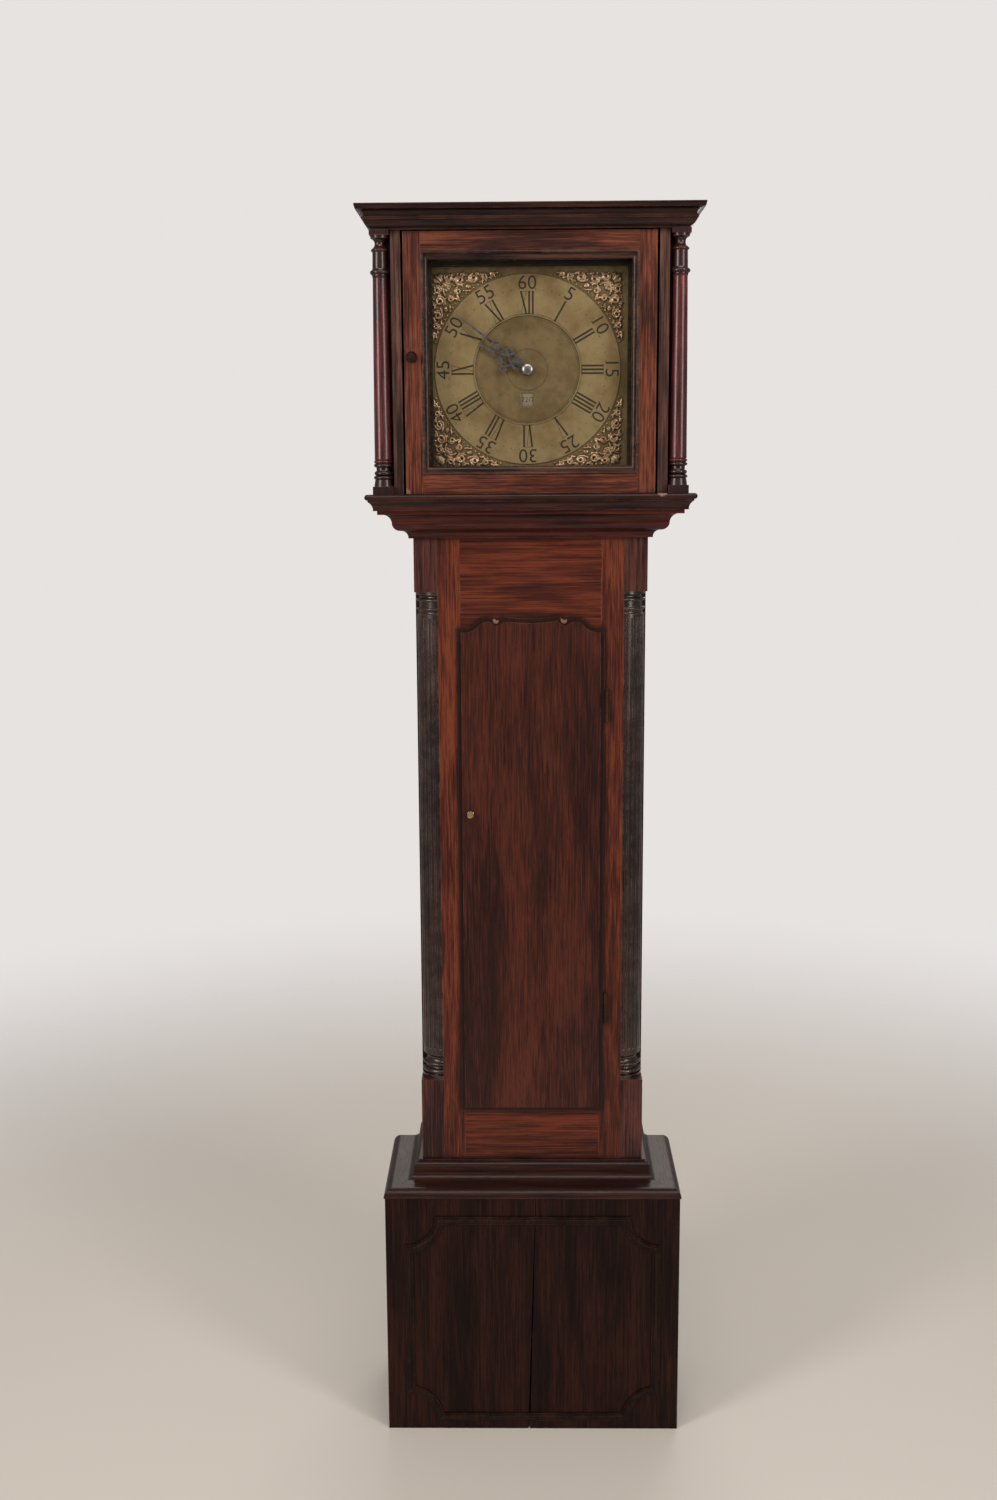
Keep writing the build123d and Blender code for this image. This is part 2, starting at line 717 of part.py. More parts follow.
shaft_steps = [
    (plinth_half - 1.0, hood_floor + plinth_height, "line"),
    (plinth_half - 2.6, hood_floor + 22, "cove"),
    (plinth_half - 3.0, hood_floor + 22.5, "torus"),
    (plinth_half - 3.0, hood_floor + 28, "line"),
    (plinth_half - 4.4, hood_floor + 28.5, "torus"),
    (plinth_half - 4.4, hood_floor + 35, "line"),
    (plinth_half - 4.8, hood_floor + 36, "line"),
    (plinth_half - 4.8, hood_floor + 40, "line"),
    (plinth_half - 3.2, hood_floor + 41, "torus"),
    (plinth_half - 3.2, hood_floor + 46, "line"),
    (plinth_half - 3.0, hood_floor + 47, "torus"),
    (plinth_half - 3.0, hood_floor + 51, "line"),
    (plinth_half - 2.2, hood_floor + 53, "line"),
    (plinth_half - 2.4, hood_floor + 57, "line"),
    (plinth_half - 2.7, hood_floor + 110, "line"),
    (plinth_half - 3.4, hood_floor + 210, "line"),
    (plinth_half - 4.3, hood_floor + 300, "line"),
    (plinth_half - 4.5, cornice_bottom - 68, "line"),
    (plinth_half - 3.6, cornice_bottom - 64.5, "line"),
    (plinth_half - 3.6, cornice_bottom - 63, "torus"),
    (plinth_half - 3.6, cornice_bottom - 56, "line"),
    (plinth_half - 4.4, cornice_bottom - 54, "line"),
    (plinth_half - 4.8, cornice_bottom - 31, "line"),
    (plinth_half - 4.2, cornice_bottom - 30, "torus"),
    (plinth_half - 4.2, cornice_bottom - 26, "line"),
    (plinth_half - 4.8, cornice_bottom - 25, "cove"),
    (abacus_half - 1.4, cornice_bottom - 11, "line"),
    (abacus_half - 0.8, cornice_bottom - abacus_height, "line"),
]
for side, label in ((-1, "hood_column_left"), (1, "hood_column_right")):
    centre_x = side * column_x
    with BuildPart() as hood_column:
        add(turned(shaft_steps, Plane(origin=(centre_x, column_y, 0))))
        slab((centre_x - plinth_half, centre_x + plinth_half),
             (column_y - plinth_half, column_y + plinth_half),
             (hood_floor, hood_floor + plinth_height))
        slab((centre_x - abacus_half, centre_x + abacus_half),
             (column_y - abacus_half, column_y + abacus_half),
             (cornice_bottom - abacus_height, cornice_bottom))
    save(hood_column.part, label)

# Hood door: two full stiles, two rails between them, a stepped glazing moulding, glass and knob

sight_half = hood_door_half - hood_stile_flat
sight_low = hood_door_bottom + hood_rail_flat
sight_high = hood_door_top - hood_rail_flat
hood_door_back = hood_face_y + hood_door_thickness
with BuildPart() as hood_door_frame:
    for side in (-1, 1):
        slab((side * sight_half, side * hood_door_half), (hood_face_y, hood_door_back),
             (hood_door_bottom, hood_door_top))
    for low, high in ((hood_door_bottom, sight_low), (sight_high, hood_door_top)):
        slab((joint_gap - sight_half, sight_half - joint_gap), (hood_face_y, hood_door_back), (low, high))
    outer_edges = hood_door_frame.edges().filter_by(Axis.Z).group_by(Axis.Y)[0]
    fillet([edge for edge in outer_edges if abs(edge.center().X) > sight_half + 1], edge_round)
    for low, high in ((hood_door_bottom, hood_door_bottom + leaf_thickness),
                      (hood_door_top - leaf_thickness, hood_door_top)):
        slab(leaf_span_x, leaf_span_y, (low, high), mode=Mode.SUBTRACT)
save(hood_door_frame.part, "hood_door_frame")

glass_face = hood_face_y + glass_setback


def sight_outline(inset, rail_inset):
    """Rectangle of the glazed opening, drawn in by inset at the sides and rail_inset at the rails."""
    with BuildSketch() as outline:
        with Locations((0, (sight_low + sight_high) / 2)):
            Rectangle(2 * (sight_half - inset), sight_high - sight_low - 2 * rail_inset)
    return outline.sketch


ovolo_face = hood_face_y + 3.0
with BuildPart() as hood_door_moulding:
    with BuildSketch(facing(glass_face)):
        add(sight_outline(0, 0))
        add(sight_outline(glazing_width, glazing_rail_width), mode=Mode.SUBTRACT)
    extrude(amount=glass_face - ovolo_face)
    inner_edges = hood_door_moulding.faces().sort_by(Axis.Y)[0].inner_wires()[0].edges()
    fillet(inner_edges, 6.0)
    with BuildSketch(facing(glass_face)):
        add(sight_outline(0, 0))
        add(sight_outline(glazing_bead, glazing_bead), mode=Mode.SUBTRACT)
    extrude(amount=glass_face - hood_face_y + 1.0)
    bead_face = hood_door_moulding.faces().sort_by(Axis.Y)[0]
    fillet(bead_face.edges(), glazing_bead * 0.4)
save(hood_door_moulding.part, "hood_door_moulding")

with BuildPart() as hood_door_glass:
    slab((rattle - sight_half, sight_half - rattle), (glass_face, glass_face + glass_thickness),
         (sight_low + rattle, sight_high - rattle))
save(hood_door_glass.part, "hood_door_glass")

hood_knob_radius = 8.6
hood_knob_place = Plane(origin=(hood_knob_inset - hood_door_half, hood_face_y, hood_knob_height),
                        z_dir=(0, -1, 0))
with BuildPart() as hood_door_knob:
    add(turned(knob_steps(hood_knob_radius, 4.4, 6.0), hood_knob_place))
save(hood_door_knob.part, "hood_door_knob")

with BuildPart() as hood_hinge_door_leaves:
    for leaf_low, pin_end in ((hood_door_bottom, hood_door_bottom - hood_door_clear - pivot_length),
                              (hood_door_top - leaf_thickness,
                               hood_door_top + hood_door_head + pivot_length)):
        slab(leaf_span_x, leaf_span_y, (leaf_low, leaf_low + leaf_thickness))
        with Locations((hood_pivot_x, hood_pivot_y, (leaf_low + pin_end) / 2)):
            Cylinder(pin_radius, abs(pin_end - leaf_low))
save(hood_hinge_door_leaves.part, "hood_hinge_door_leaves")

with BuildPart() as hood_hinge_frame_leaves:
    for leaf_low in (hood_floor - leaf_thickness, cornice_bottom):
        slab(leaf_span_x, leaf_span_y, (leaf_low, leaf_low + leaf_thickness))
        with Locations((hood_pivot_x, hood_pivot_y, leaf_low + leaf_thickness / 2)):
            Cylinder(pin_radius + bore_clearance, 2 * leaf_thickness, mode=Mode.SUBTRACT)
save(hood_hinge_frame_leaves.part, "hood_hinge_frame_leaves")

# Dial


def dial_plane(y, dx=0.0, dz=0.0):
    """Forward-facing plane at depth y, centred on a point given from the middle of the dial."""
    return facing(y, dial_x + dx, dial_z + dz)


foot_x = plate_half_width - dial_foot_inset_x
foot_levels = (plate_rise - dial_foot_inset_z, dial_foot_inset_z - plate_drop)
foot_spots = [(side * foot_x, height) for side in (-1, 1) for height in foot_levels]
hour_pipe_radius = 5.0
minute_pipe_radius = 3.2
with BuildPart() as dial_plate:
    with BuildSketch(dial_plane(dial_back)):
        Rectangle(2 * dial_half, 2 * dial_half)
        Circle(hour_pipe_radius + 1.2, mode=Mode.SUBTRACT)
        with Locations((0, -date_drop)):
            Rectangle(date_window_width, date_window_height, mode=Mode.SUBTRACT)
    extrude(amount=dial_thickness)
    fillet(dial_plate.faces().sort_by(Axis.Y)[0].outer_wire().edges(), 0.5)
    with BuildSketch(dial_plane(front_plate_y)):
        with Locations(*foot_spots):
            Circle(dial_foot_radius)
    extrude(amount=dial_to_plate)
save(dial_plate.part, "dial_plate")

with BuildPart() as chapter_ring:
    with BuildSketch(dial_plane(dial_y)):
        Circle(ring_radius)
        Circle(ring_inner_radius, mode=Mode.SUBTRACT)
    extrude(amount=ring_thickness)
    chamfer(chapter_ring.faces().sort_by(Axis.Y)[0].edges(), 0.5)
save(chapter_ring.part, "chapter_ring")

spandrel_corner = dial_half - spandrel_margin
with BuildPart() as dial_spandrels:
    with BuildSketch(dial_plane(dial_y)):
        for side_x in (-1, 1):
            for side_z in (-1, 1):
                corner = (side_x * spandrel_corner, side_z * spandrel_corner)
                along = (side_x * (spandrel_corner - spandrel_leg), side_z * spandrel_corner)
                upright = (side_x * spandrel_corner, side_z * (spandrel_corner - spandrel_leg))
                with BuildLine():
                    Polyline(along, corner, upright, (side_x * 108, side_z * 108), along)
                make_face()
        Circle(ring_radius + 2.2, mode=Mode.SUBTRACT)
        for side_x in (-1, 1):
            for side_z in (-1, 1):
                for in_x, in_z, radius in ((28, 12, 4.5), (12, 28, 4.5), (50, 7, 3.2), (7, 50, 3.2)):
                    hole = (side_x * (spandrel_corner - in_x), side_z * (spandrel_corner - in_z))
                    with Locations(hole):
                        Circle(radius, mode=Mode.SUBTRACT)
    extrude(amount=spandrel_thickness)
    fillet(dial_spandrels.faces().sort_by(Axis.Y)[0:4].edges(), 0.9)
save(dial_spandrels.part, "dial_spandrels")

with BuildPart() as date_ring:
    with BuildSketch(dial_plane(dial_back + rattle + dial_thickness)):
        Circle(date_drop + date_ring_width / 2)
        Circle(date_drop - date_ring_width / 2, mode=Mode.SUBTRACT)
    extrude(amount=dial_thickness)
save(date_ring.part, "date_ring")

# Hands: an open, serpentine minute hand over a winged hour hand

hour_hand_back = dial_y - ring_thickness - 5.0
minute_hand_back = hour_hand_back - hand_thickness - 2.4


def band(points, widths):
    """Flat band along points, with a width at each, joined by straight runs and round ends."""
    with BuildSketch() as shape:
        for (start, end), (first, last) in zip(zip(points, points[1:]), zip(widths, widths[1:])):
            run = math.hypot(end[0] - start[0], end[1] - start[1])
            across = ((end[1] - start[1]) / run, (start[0] - end[0]) / run)
            with BuildLine():
                Polyline((start[0] + across[0] * first / 2, start[1] + across[1] * first / 2),
                         (end[0] + across[0] * last / 2, end[1] + across[1] * last / 2),
                         (end[0] - across[0] * last / 2, end[1] - across[1] * last / 2),
                         (start[0] - across[0] * first / 2, start[1] - across[1] * first / 2), close=True)
            make_face()
        for point, width in zip(points, widths):
            with Locations(point):
                Circle(width / 2)
    return shape.sketch


def ring_face(x, y, outer, inner, stretch=1.0):
    """Oval ring, as long as stretch times its width."""
    with BuildSketch() as shape:
        with Locations((x, y)):
            Ellipse(outer, outer * stretch)
            Ellipse(inner, inner * stretch, mode=Mode.SUBTRACT)
    return shape.sketch


def hand(outline, back, angle, bore, collet_radius, collet_length):
    """A flat hand turned clockwise from twelve by angle, with a collet behind it."""
    with BuildPart() as blade:
        with BuildSketch(dial_plane(back)):
            add(outline.rotate(Axis.Z, -angle))
            Circle(collet_radius)
            Circle(bore, mode=Mode.SUBTRACT)
        extrude(amount=hand_thickness)
        with BuildSketch(dial_plane(back + collet_length)):
            Circle(collet_radius)
            Circle(bore, mode=Mode.SUBTRACT)
        extrude(amount=collet_length)
    return blade.part


with BuildSketch() as hour_outline:
    add(ring_face(0, 17, 9.0, 5.4))
    add(band([(0, 8), (0, 22)], [4.4, 2.6]))
    add(ring_face(0, 34, 11.5, 8.6, 0.9))
    add(band([(-9, 34), (-17, 40), (-20, 34), (-15, 29), (-9, 34)], [3.0, 2.6, 2.2, 2.6, 3.0]))
    add(band([(9, 34), (17, 40), (20, 34), (15, 29), (9, 34)], [3.0, 2.6, 2.2, 2.6, 3.0]))
    add(band([(0, 43), (-6, 50), (0, 58), (6, 50), (0, 43)], [3.4, 2.4, 3.0, 2.4, 3.4]))
    add(band([(0, 57), (0, 70), (0, hour_hand_length - 1)], [4.2, 5.2, 1.4]))
with BuildPart() as hour_hand:
    add(hand(hour_outline.sketch, hour_hand_back, hour_hand_angle, hour_pipe_radius + bore_clearance,
        8.4, 1.6))
save(hour_hand.part, "hour_hand")

with BuildSketch() as minute_outline:
    add(band([(0, 6), (0, 20)], [5.0, 3.0]))
    add(ring_face(0, 27, 7.0, 4.6, 1.3))
    add(band([(0, 36), (-4.5, 43), (0, 51), (4.5, 59), (0, 66)], [3.4, 2.8, 3.2, 2.8, 3.4]))
    add(band([(0, 36), (4.5, 43), (0, 51), (-4.5, 59), (0, 66)], [3.4, 2.8, 3.2, 2.8, 3.4]))
    add(band([(0, 65), (0, 96), (0, minute_hand_length - 1)], [4.6, 3.2, 1.2]))
with BuildPart() as minute_hand:
    add(hand(minute_outline.sketch, minute_hand_back, minute_hand_angle, minute_pipe_radius + bore_clearance,
             6.4, 0.8))
    with BuildSketch(dial_plane(minute_hand_back - hand_thickness)):
        Circle(5.0)
        Circle(minute_pipe_radius + bore_clearance, mode=Mode.SUBTRACT)
    extrude(amount=2.0)
save(minute_hand.part, "minute_hand")

# Movement: two plates on four pillars, with the going train on the right and the strike on the left


def rod(dx, dz, radius, depths, mode=Mode.ADD):
    """Adds a round bar along Y between two depths, placed from the middle of the dial."""
    low, high = sorted(depths)
    with Locations((dial_x + dx, (low + high) / 2, dial_z + dz)):
        Cylinder(radius, high - low, rotation=(90, 0, 0), mode=mode)


def toothed(root, pitch, tip, half_widths, teeth, phase):
    """Toothed outline with one tooth centred at phase, from radii and half widths at root, pitch and tip."""
    points = []
    for index in range(teeth):
        middle = phase + index * 360 / teeth
        for side, order in ((-1, (0, 1, 2)), (1, (2, 1, 0))):
            for level in order:
                radius = (root, pitch, tip)[level]
                angle = math.radians(middle) + side * half_widths[level] / radius
                points.append((radius * math.cos(angle), radius * math.sin(angle)))
    with BuildSketch() as outline:
        with BuildLine():
            Polyline(*points, close=True)
        make_face()
    return outline.sketch


def wheel(module, teeth, phase):
    """Wheel with four crossings and a tooth centred at phase, in degrees from the right."""
    pitch = module * teeth / 2
    rim = pitch - 3.2 * module
    half_widths = [share * math.pi * module for share in (0.25, 0.21, 0.1)]
    with BuildSketch() as outline:
        add(toothed(pitch - 1.2 * module, pitch, pitch + 0.8 * module, half_widths, teeth, phase))
        Circle(rim, mode=Mode.SUBTRACT)
        Circle(2 * arbor_radius)
        for turn in (45, 135):
            Rectangle(2 * rim + module, spoke_width, rotation=turn)
    return outline.sketch


def pinion(module, leaves, phase):
    """Pinion with the gap between two leaves centred at phase, in degrees from the right."""
    pitch = module * leaves / 2
    half_widths = [share * math.pi * module for share in (0.13, 0.18, 0.08)]
    return toothed(pitch - 1.25 * module, pitch, pitch + 0.5 * module, half_widths, leaves,
                   phase + 180 / leaves)


def bearing(start, end):
    """Angle of the line from one arbor to another, in degrees from the right."""
    return math.degrees(math.atan2(end[1] - start[1], end[0] - start[0]))


def meet(first, first_reach, second, second_reach):
    """Point at given reaches from two arbors, on the right of the line between them."""
    span = math.dist(first, second)
    along = (first_reach ** 2 - second_reach ** 2 + span ** 2) / (2 * span)
    aside = math.sqrt(first_reach ** 2 - along ** 2)
    ux, uz = (second[0] - first[0]) / span, (second[1] - first[1]) / span
    return first[0] + along * ux + aside * uz, first[1] + along * uz - aside * ux


spoke_width = 2.2
centre = (0.0, 0.0)
great_reach = great_module * (great_teeth + centre_pinion_teeth) / 2
great_drop = math.sqrt(great_reach ** 2 - great_x ** 2)
great = (great_x, -great_drop)
strike_great = (-great_x, -great_drop)
anchor_spot = (0.0, anchor_rise)
escape = (0.0, anchor_rise - escape_radius - 8.5)
third = meet(centre, centre_module * (centre_teeth + third_pinion_teeth) / 2,
             escape, third_module * (third_teeth + escape_pinion_teeth) / 2)
pin_lean = 8.0
pin_reach = great_module * (great_teeth + pin_pinion_teeth) / 2
pin = (pin_lean - great_x, math.sqrt(pin_reach ** 2 - pin_lean ** 2) - great_drop)
fly_lean = 5.0
fly_reach = third_module * (pin_teeth + fly_pinion_teeth) / 2
fly_spot = (pin[0] - fly_lean, pin[1] + math.sqrt(fly_reach ** 2 - fly_lean ** 2))
minute_reach = hour_module * (minute_pinion_teeth + hour_teeth) / 2
minute_spot = (-minute_reach / math.sqrt(2), -minute_reach / math.sqrt(2))
cannon_module = minute_reach / cannon_teeth
hammer_spot = (-62.0, 30.0)
arbor_spots = [centre, great, third, escape, strike_great, pin, fly_spot, hammer_spot, anchor_spot]
pillar_radius = 6.0
pillar_spots = [(-upper_pillar_x, plate_rise - pillar_inset), (upper_pillar_x, plate_rise - pillar_inset),
                (pillar_inset - plate_half_width, pillar_inset - plate_drop),
                (plate_half_width - pillar_inset, pillar_inset - plate_drop)]
back_rear = back_plate_y + plate_thickness
stud_radius = 0.8
stud_end = dial_back + stud_length


def wheel_layer(start, thickness=wheel_thickness):
    """Front and rear of a wheel that starts so far behind the front of the movement."""
    return movement_y + start, movement_y + start + thickness


def pinion_layer(meshed_layer):
    """Front and rear of a pinion that reaches past both faces of the wheel in mesh with it."""
    return meshed_layer[0] - pinion_overhang, meshed_layer[1] + pinion_overhang


great_layer = wheel_layer(great_wheel_at, great_wheel_thickness)
third_layer = wheel_layer(third_wheel_at)
pin_layer = wheel_layer(pin_wheel_at)
escape_layer = wheel_layer(escape_wheel_at)
strike_layer = wheel_layer(strike_wheel_at, great_wheel_thickness)
centre_layer = wheel_layer(centre_wheel_at)
centre_pinion_layer = pinion_layer(great_layer)
third_pinion_layer = pinion_layer(centre_layer)
escape_pinion_layer = pinion_layer(third_layer)
pin_pinion_layer = pinion_layer(strike_layer)
fly_pinion_layer = pinion_layer(pin_layer)
motion_layer = (front_plate_y - 5.9, front_plate_y - 3.9)
hour_layer = (front_plate_y - 13.4, front_plate_y - 11.4)
minute_pinion_layer = (front_plate_y - 15.4, front_plate_y - 9.4)
hour_pipe_end = hour_hand_back - hand_thickness - 0.4
minute_pipe_end = minute_hand_back - hand_thickness - 1.6

with BuildPart() as movement_frame:
    for plate_rear in (movement_y, back_rear):
        slab((dial_x - plate_half_width, dial_x + plate_half_width),
             (plate_rear - plate_thickness, plate_rear),
             (dial_z - plate_drop, dial_z + plate_rise))
    for spot in pillar_spots:
        rod(*spot, pillar_radius, (movement_y, back_plate_y))
        for collar_y in (movement_y + 4.0, back_plate_y - 4.0):
            rod(*spot, pillar_radius + 1.5, (collar_y - 1.0, collar_y + 1.0))
    for spot in arbor_spots:
        rod(*spot, pivot_radius + bore_clearance, (front_plate_y - 1, back_rear + 1), mode=Mode.SUBTRACT)
    rod(*anchor_spot, 8.0, (back_plate_y - 1, back_rear + 1), mode=Mode.SUBTRACT)
    rod(*minute_spot, stud_radius, (stud_end, movement_y))
save(movement_frame.part, "movement_frame")


def layered(shape, layer, spot):
    """Flat shape made as thick as layer, about an arbor."""
    with BuildPart() as plate:
        with BuildSketch(dial_plane(layer[1], *spot)):
            add(shape)
        extrude(amount=layer[1] - layer[0])
    return plate.part


def arbor(spot):
    """Adds an arbor with its two pivots to the part in work."""
    rod(*spot, arbor_radius, (movement_y + rattle, back_plate_y - rattle))
    rod(*spot, pivot_radius, (front_plate_y - rattle, back_rear + rattle))


with BuildPart() as centre_wheel:
    arbor(centre)
    rod(*centre, pivot_radius, (motion_layer[1], front_plate_y))
    add(layered(pinion(great_module, centre_pinion_teeth, bearing(centre, great)), centre_pinion_layer,
        centre))
    add(layered(wheel(centre_module, centre_teeth, bearing(centre, third)), centre_layer, centre))
    add(layered(wheel(cannon_module, cannon_teeth, bearing(centre, minute_spot)), motion_layer, centre))
    rod(*centre, minute_pipe_radius, (minute_pipe_end, motion_layer[1]))
save(centre_wheel.part, "centre_wheel")

with BuildPart() as hour_wheel:
    add(layered(wheel(hour_module, hour_teeth, bearing(centre, minute_spot)), hour_layer, centre))
    rod(*centre, hour_pipe_radius, (hour_pipe_end, hour_layer[1]))
    rod(*centre, minute_pipe_radius + 2 * bore_clearance, (hour_pipe_end - 1, hour_layer[1] + 1),
        mode=Mode.SUBTRACT)
save(hour_wheel.part, "hour_wheel")

with BuildPart() as minute_wheel:
    with_gap = bearing(minute_spot, centre) + 180 / cannon_teeth
    add(layered(wheel(cannon_module, cannon_teeth, with_gap), motion_layer, minute_spot))
    add(layered(pinion(hour_module, minute_pinion_teeth, bearing(minute_spot, centre)),
                minute_pinion_layer, minute_spot))
    rod(*minute_spot, hour_module * 2.2, (minute_pinion_layer[1], motion_layer[1]))
    rod(*minute_spot, stud_radius + bore_clearance, (stud_end - 1, movement_y), mode=Mode.SUBTRACT)
save(minute_wheel.part, "minute_wheel")

groove_radius = chain_radius - chain_thickness / 2 - rattle
flange_radius = chain_radius + 3.0
groove_side = 1.2


def sprocket(spot):
    """Adds a grooved chain wheel to the part in work, about an arbor."""
    edge = sprocket_width / 2
    waist = chain_thickness / 2 + groove_side
    rod(*spot, groove_radius, (sprocket_y - edge, sprocket_y + edge))
    for side in (-1, 1):
        rod(*spot, flange_radius, (sprocket_y + side * waist, sprocket_y + side * edge))


with BuildPart() as great_wheel:
    arbor(great)
    add(layered(wheel(great_module, great_teeth, bearing(great, centre)), great_layer, great))
    sprocket(great)
save(great_wheel.part, "great_wheel")

with BuildPart() as third_wheel:
    arbor(third)
    add(layered(pinion(centre_module, third_pinion_teeth, bearing(third, centre)), third_pinion_layer, third))
    add(layered(wheel(third_module, third_teeth, bearing(third, escape)), third_layer, third))
save(third_wheel.part, "third_wheel")

tooth_depth = 4.0
tooth_pitch = 360 / escape_teeth
with BuildPart() as escape_wheel:
    arbor(escape)
    add(layered(pinion(third_module, escape_pinion_teeth, bearing(escape, third)), escape_pinion_layer,
        escape))
    tooth_points = []
    for index in range(escape_teeth):
        for radius, share in ((escape_radius - tooth_depth, 0), (escape_radius, 0.66), (escape_radius, 0.74)):
            angle = math.radians((index + share) * tooth_pitch)
            tooth_points.append((radius * math.cos(angle), radius * math.sin(angle)))
    with BuildSketch(dial_plane(escape_layer[1], *escape)):
        with BuildLine():
            Polyline(*tooth_points, close=True)
        make_face()
        Circle(escape_radius - tooth_depth - 1.8, mode=Mode.SUBTRACT)
        Circle(2 * arbor_radius)
        for turn in (45, 135):
            Rectangle(2 * (escape_radius - tooth_depth - 1), spoke_width, rotation=turn)
    extrude(amount=escape_layer[1] - escape_layer[0])
save(escape_wheel.part, "escape_wheel")

# Anchor, crutch and the cock that carries them and the pendulum

pallet_clearance = 1.4
anchor_band = 5.0
crutch_y = back_rear + crutch_gap
cock_leg = 20.0
cock_depth = 11.6
cock_bridge = 3.0
fork_drop = 50.0
fork_gap = 0.4
tine = 2.5
with BuildPart() as anchor:
    rod(*anchor_spot, arbor_radius, (movement_y + rattle, back_rear + cock_depth - rattle))
    rod(*anchor_spot, pivot_radius, (front_plate_y - rattle, back_rear + cock_depth + cock_bridge))
    with BuildSketch(dial_plane(escape_layer[1] + 0.5, *escape)):
        Circle(escape_radius + pallet_clearance + anchor_band)
        Circle(escape_radius + pallet_clearance, mode=Mode.SUBTRACT)
        with BuildLine():
            reach = 2 * escape_radius
            Polyline((0, 0), (reach, reach), (-reach, reach), close=True)
        make_face(mode=Mode.INTERSECT)
        with Locations((0, anchor_rise - escape[1])):
            Circle(arbor_radius + 3.0)
    extrude(amount=escape_layer[1] - escape_layer[0] + 1.0)
    slab((dial_x - 2.0, dial_x + 2.0), (crutch_y - 1.2, crutch_y + 1.2),
         (dial_z - fork_drop - 2.5, dial_z + anchor_rise))
    fork_half = rod_radius + fork_gap + tine
    fork_rear = pendulum_y + rod_radius + 3.0
    slab((dial_x - fork_half, dial_x + fork_half), (crutch_y - 1.2, pendulum_y - rod_radius - 2.0),
         (dial_z - fork_drop - 2.5, dial_z - fork_drop + 2.5))
    for side in (-1, 1):
        slab((dial_x + side * (fork_half - tine), dial_x + side * fork_half), (crutch_y, fork_rear),
             (dial_z - fork_drop - 2.5, dial_z - fork_drop + 2.5))
save(anchor.part, "anchor")

block_half = 9.0
block_foot = anchor_rise + 3.4
block_height = 8.0
slit = 1.2
cock_rear = back_rear + cock_depth + cock_bridge
with BuildPart() as back_cock:
    for side in (-1, 1):
        slab((dial_x + side * (cock_leg - 3), dial_x + side * (cock_leg + 3)), (back_rear, cock_rear),
             (dial_z + anchor_rise - 6, dial_z + anchor_rise + 12))
    slab((dial_x - cock_leg, dial_x + cock_leg), (back_rear + cock_depth, cock_rear),
         (dial_z + anchor_rise - 6, dial_z + anchor_rise + 12))
    slab((dial_x - block_half, dial_x + block_half), (cock_rear, pendulum_y + 8.0),
         (dial_z + block_foot, dial_z + block_foot + block_height))
    slab((dial_x - slit, dial_x + slit), (pendulum_y - 5.5, pendulum_y + 9.0),
         (dial_z + block_foot - 1, dial_z + block_foot + block_height + 1), mode=Mode.SUBTRACT)
    rod(*anchor_spot, pivot_radius + bore_clearance, (back_rear + cock_depth - 1, cock_rear + 1),
        mode=Mode.SUBTRACT)
save(back_cock.part, "back_cock")

# Pendulum: a spring strip held in a chop above the cock, a round rod, a lenticular bob and its nut

pendulum_pivot = dial_z + anchor_rise
chop_foot = dial_z + block_foot + block_height + 0.5
bob_z = pendulum_pivot - pendulum_length
strip_half = 0.2
with BuildPart() as pendulum_rod:
    slab((dial_x - 7.0, dial_x + 7.0), (pendulum_y - 5.0, pendulum_y + 5.0), (chop_foot, chop_foot + 6.0))
    slab((dial_x - strip_half, dial_x + strip_half), (pendulum_y - 4.0, pendulum_y + 4.0),
         (pendulum_pivot - 8.0, chop_foot))
    slab((dial_x - 3.0, dial_x + 3.0), (pendulum_y - 5.0, pendulum_y + 5.0),
         (pendulum_pivot - 20.0, pendulum_pivot - 6.0))
    with Locations((dial_x, pendulum_y, (pendulum_pivot - 18.0 + bob_z - bob_radius - rod_tail) / 2)):
        Cylinder(rod_radius, pendulum_pivot - 18.0 - bob_z + bob_radius + rod_tail)
save(pendulum_rod.part, "pendulum_rod")

nut_gap = 1.0
with BuildPart() as pendulum_bob:
    with BuildSketch(Plane.XY):
        with BuildLine():
            ThreePointArc((bob_radius, -1.0), (bob_radius * 0.55, -bob_thickness / 2 + 3.0),
                          (0, -bob_thickness / 2))
            Line((0, -bob_thickness / 2), (0, bob_thickness / 2))
            ThreePointArc((0, bob_thickness / 2), (bob_radius * 0.55, bob_thickness / 2 - 3.0),
                          (bob_radius, 1.0))
            Line((bob_radius, 1.0), (bob_radius, -1.0))
        make_face()
    revolve(axis=Axis.Y)
    Cylinder(rod_radius + bore_clearance, 2 * bob_radius + 2, mode=Mode.SUBTRACT)
    with Locations((0, 0, -bob_radius - nut_gap - nut_height / 2)):
        Cylinder(nut_radius, nut_height)
        Cylinder(rod_radius + bore_clearance, 12.0, mode=Mode.SUBTRACT)
save(pendulum_bob.part.moved(Location((dial_x, pendulum_y, bob_z))), "pendulum_bob")

# Strike train, hammer and bell

with BuildPart() as strike_great_wheel:
    arbor(strike_great)
    add(layered(wheel(great_module, great_teeth, bearing(strike_great, pin)), strike_layer, strike_great))
    sprocket(strike_great)
save(strike_great_wheel.part, "strike_great_wheel")

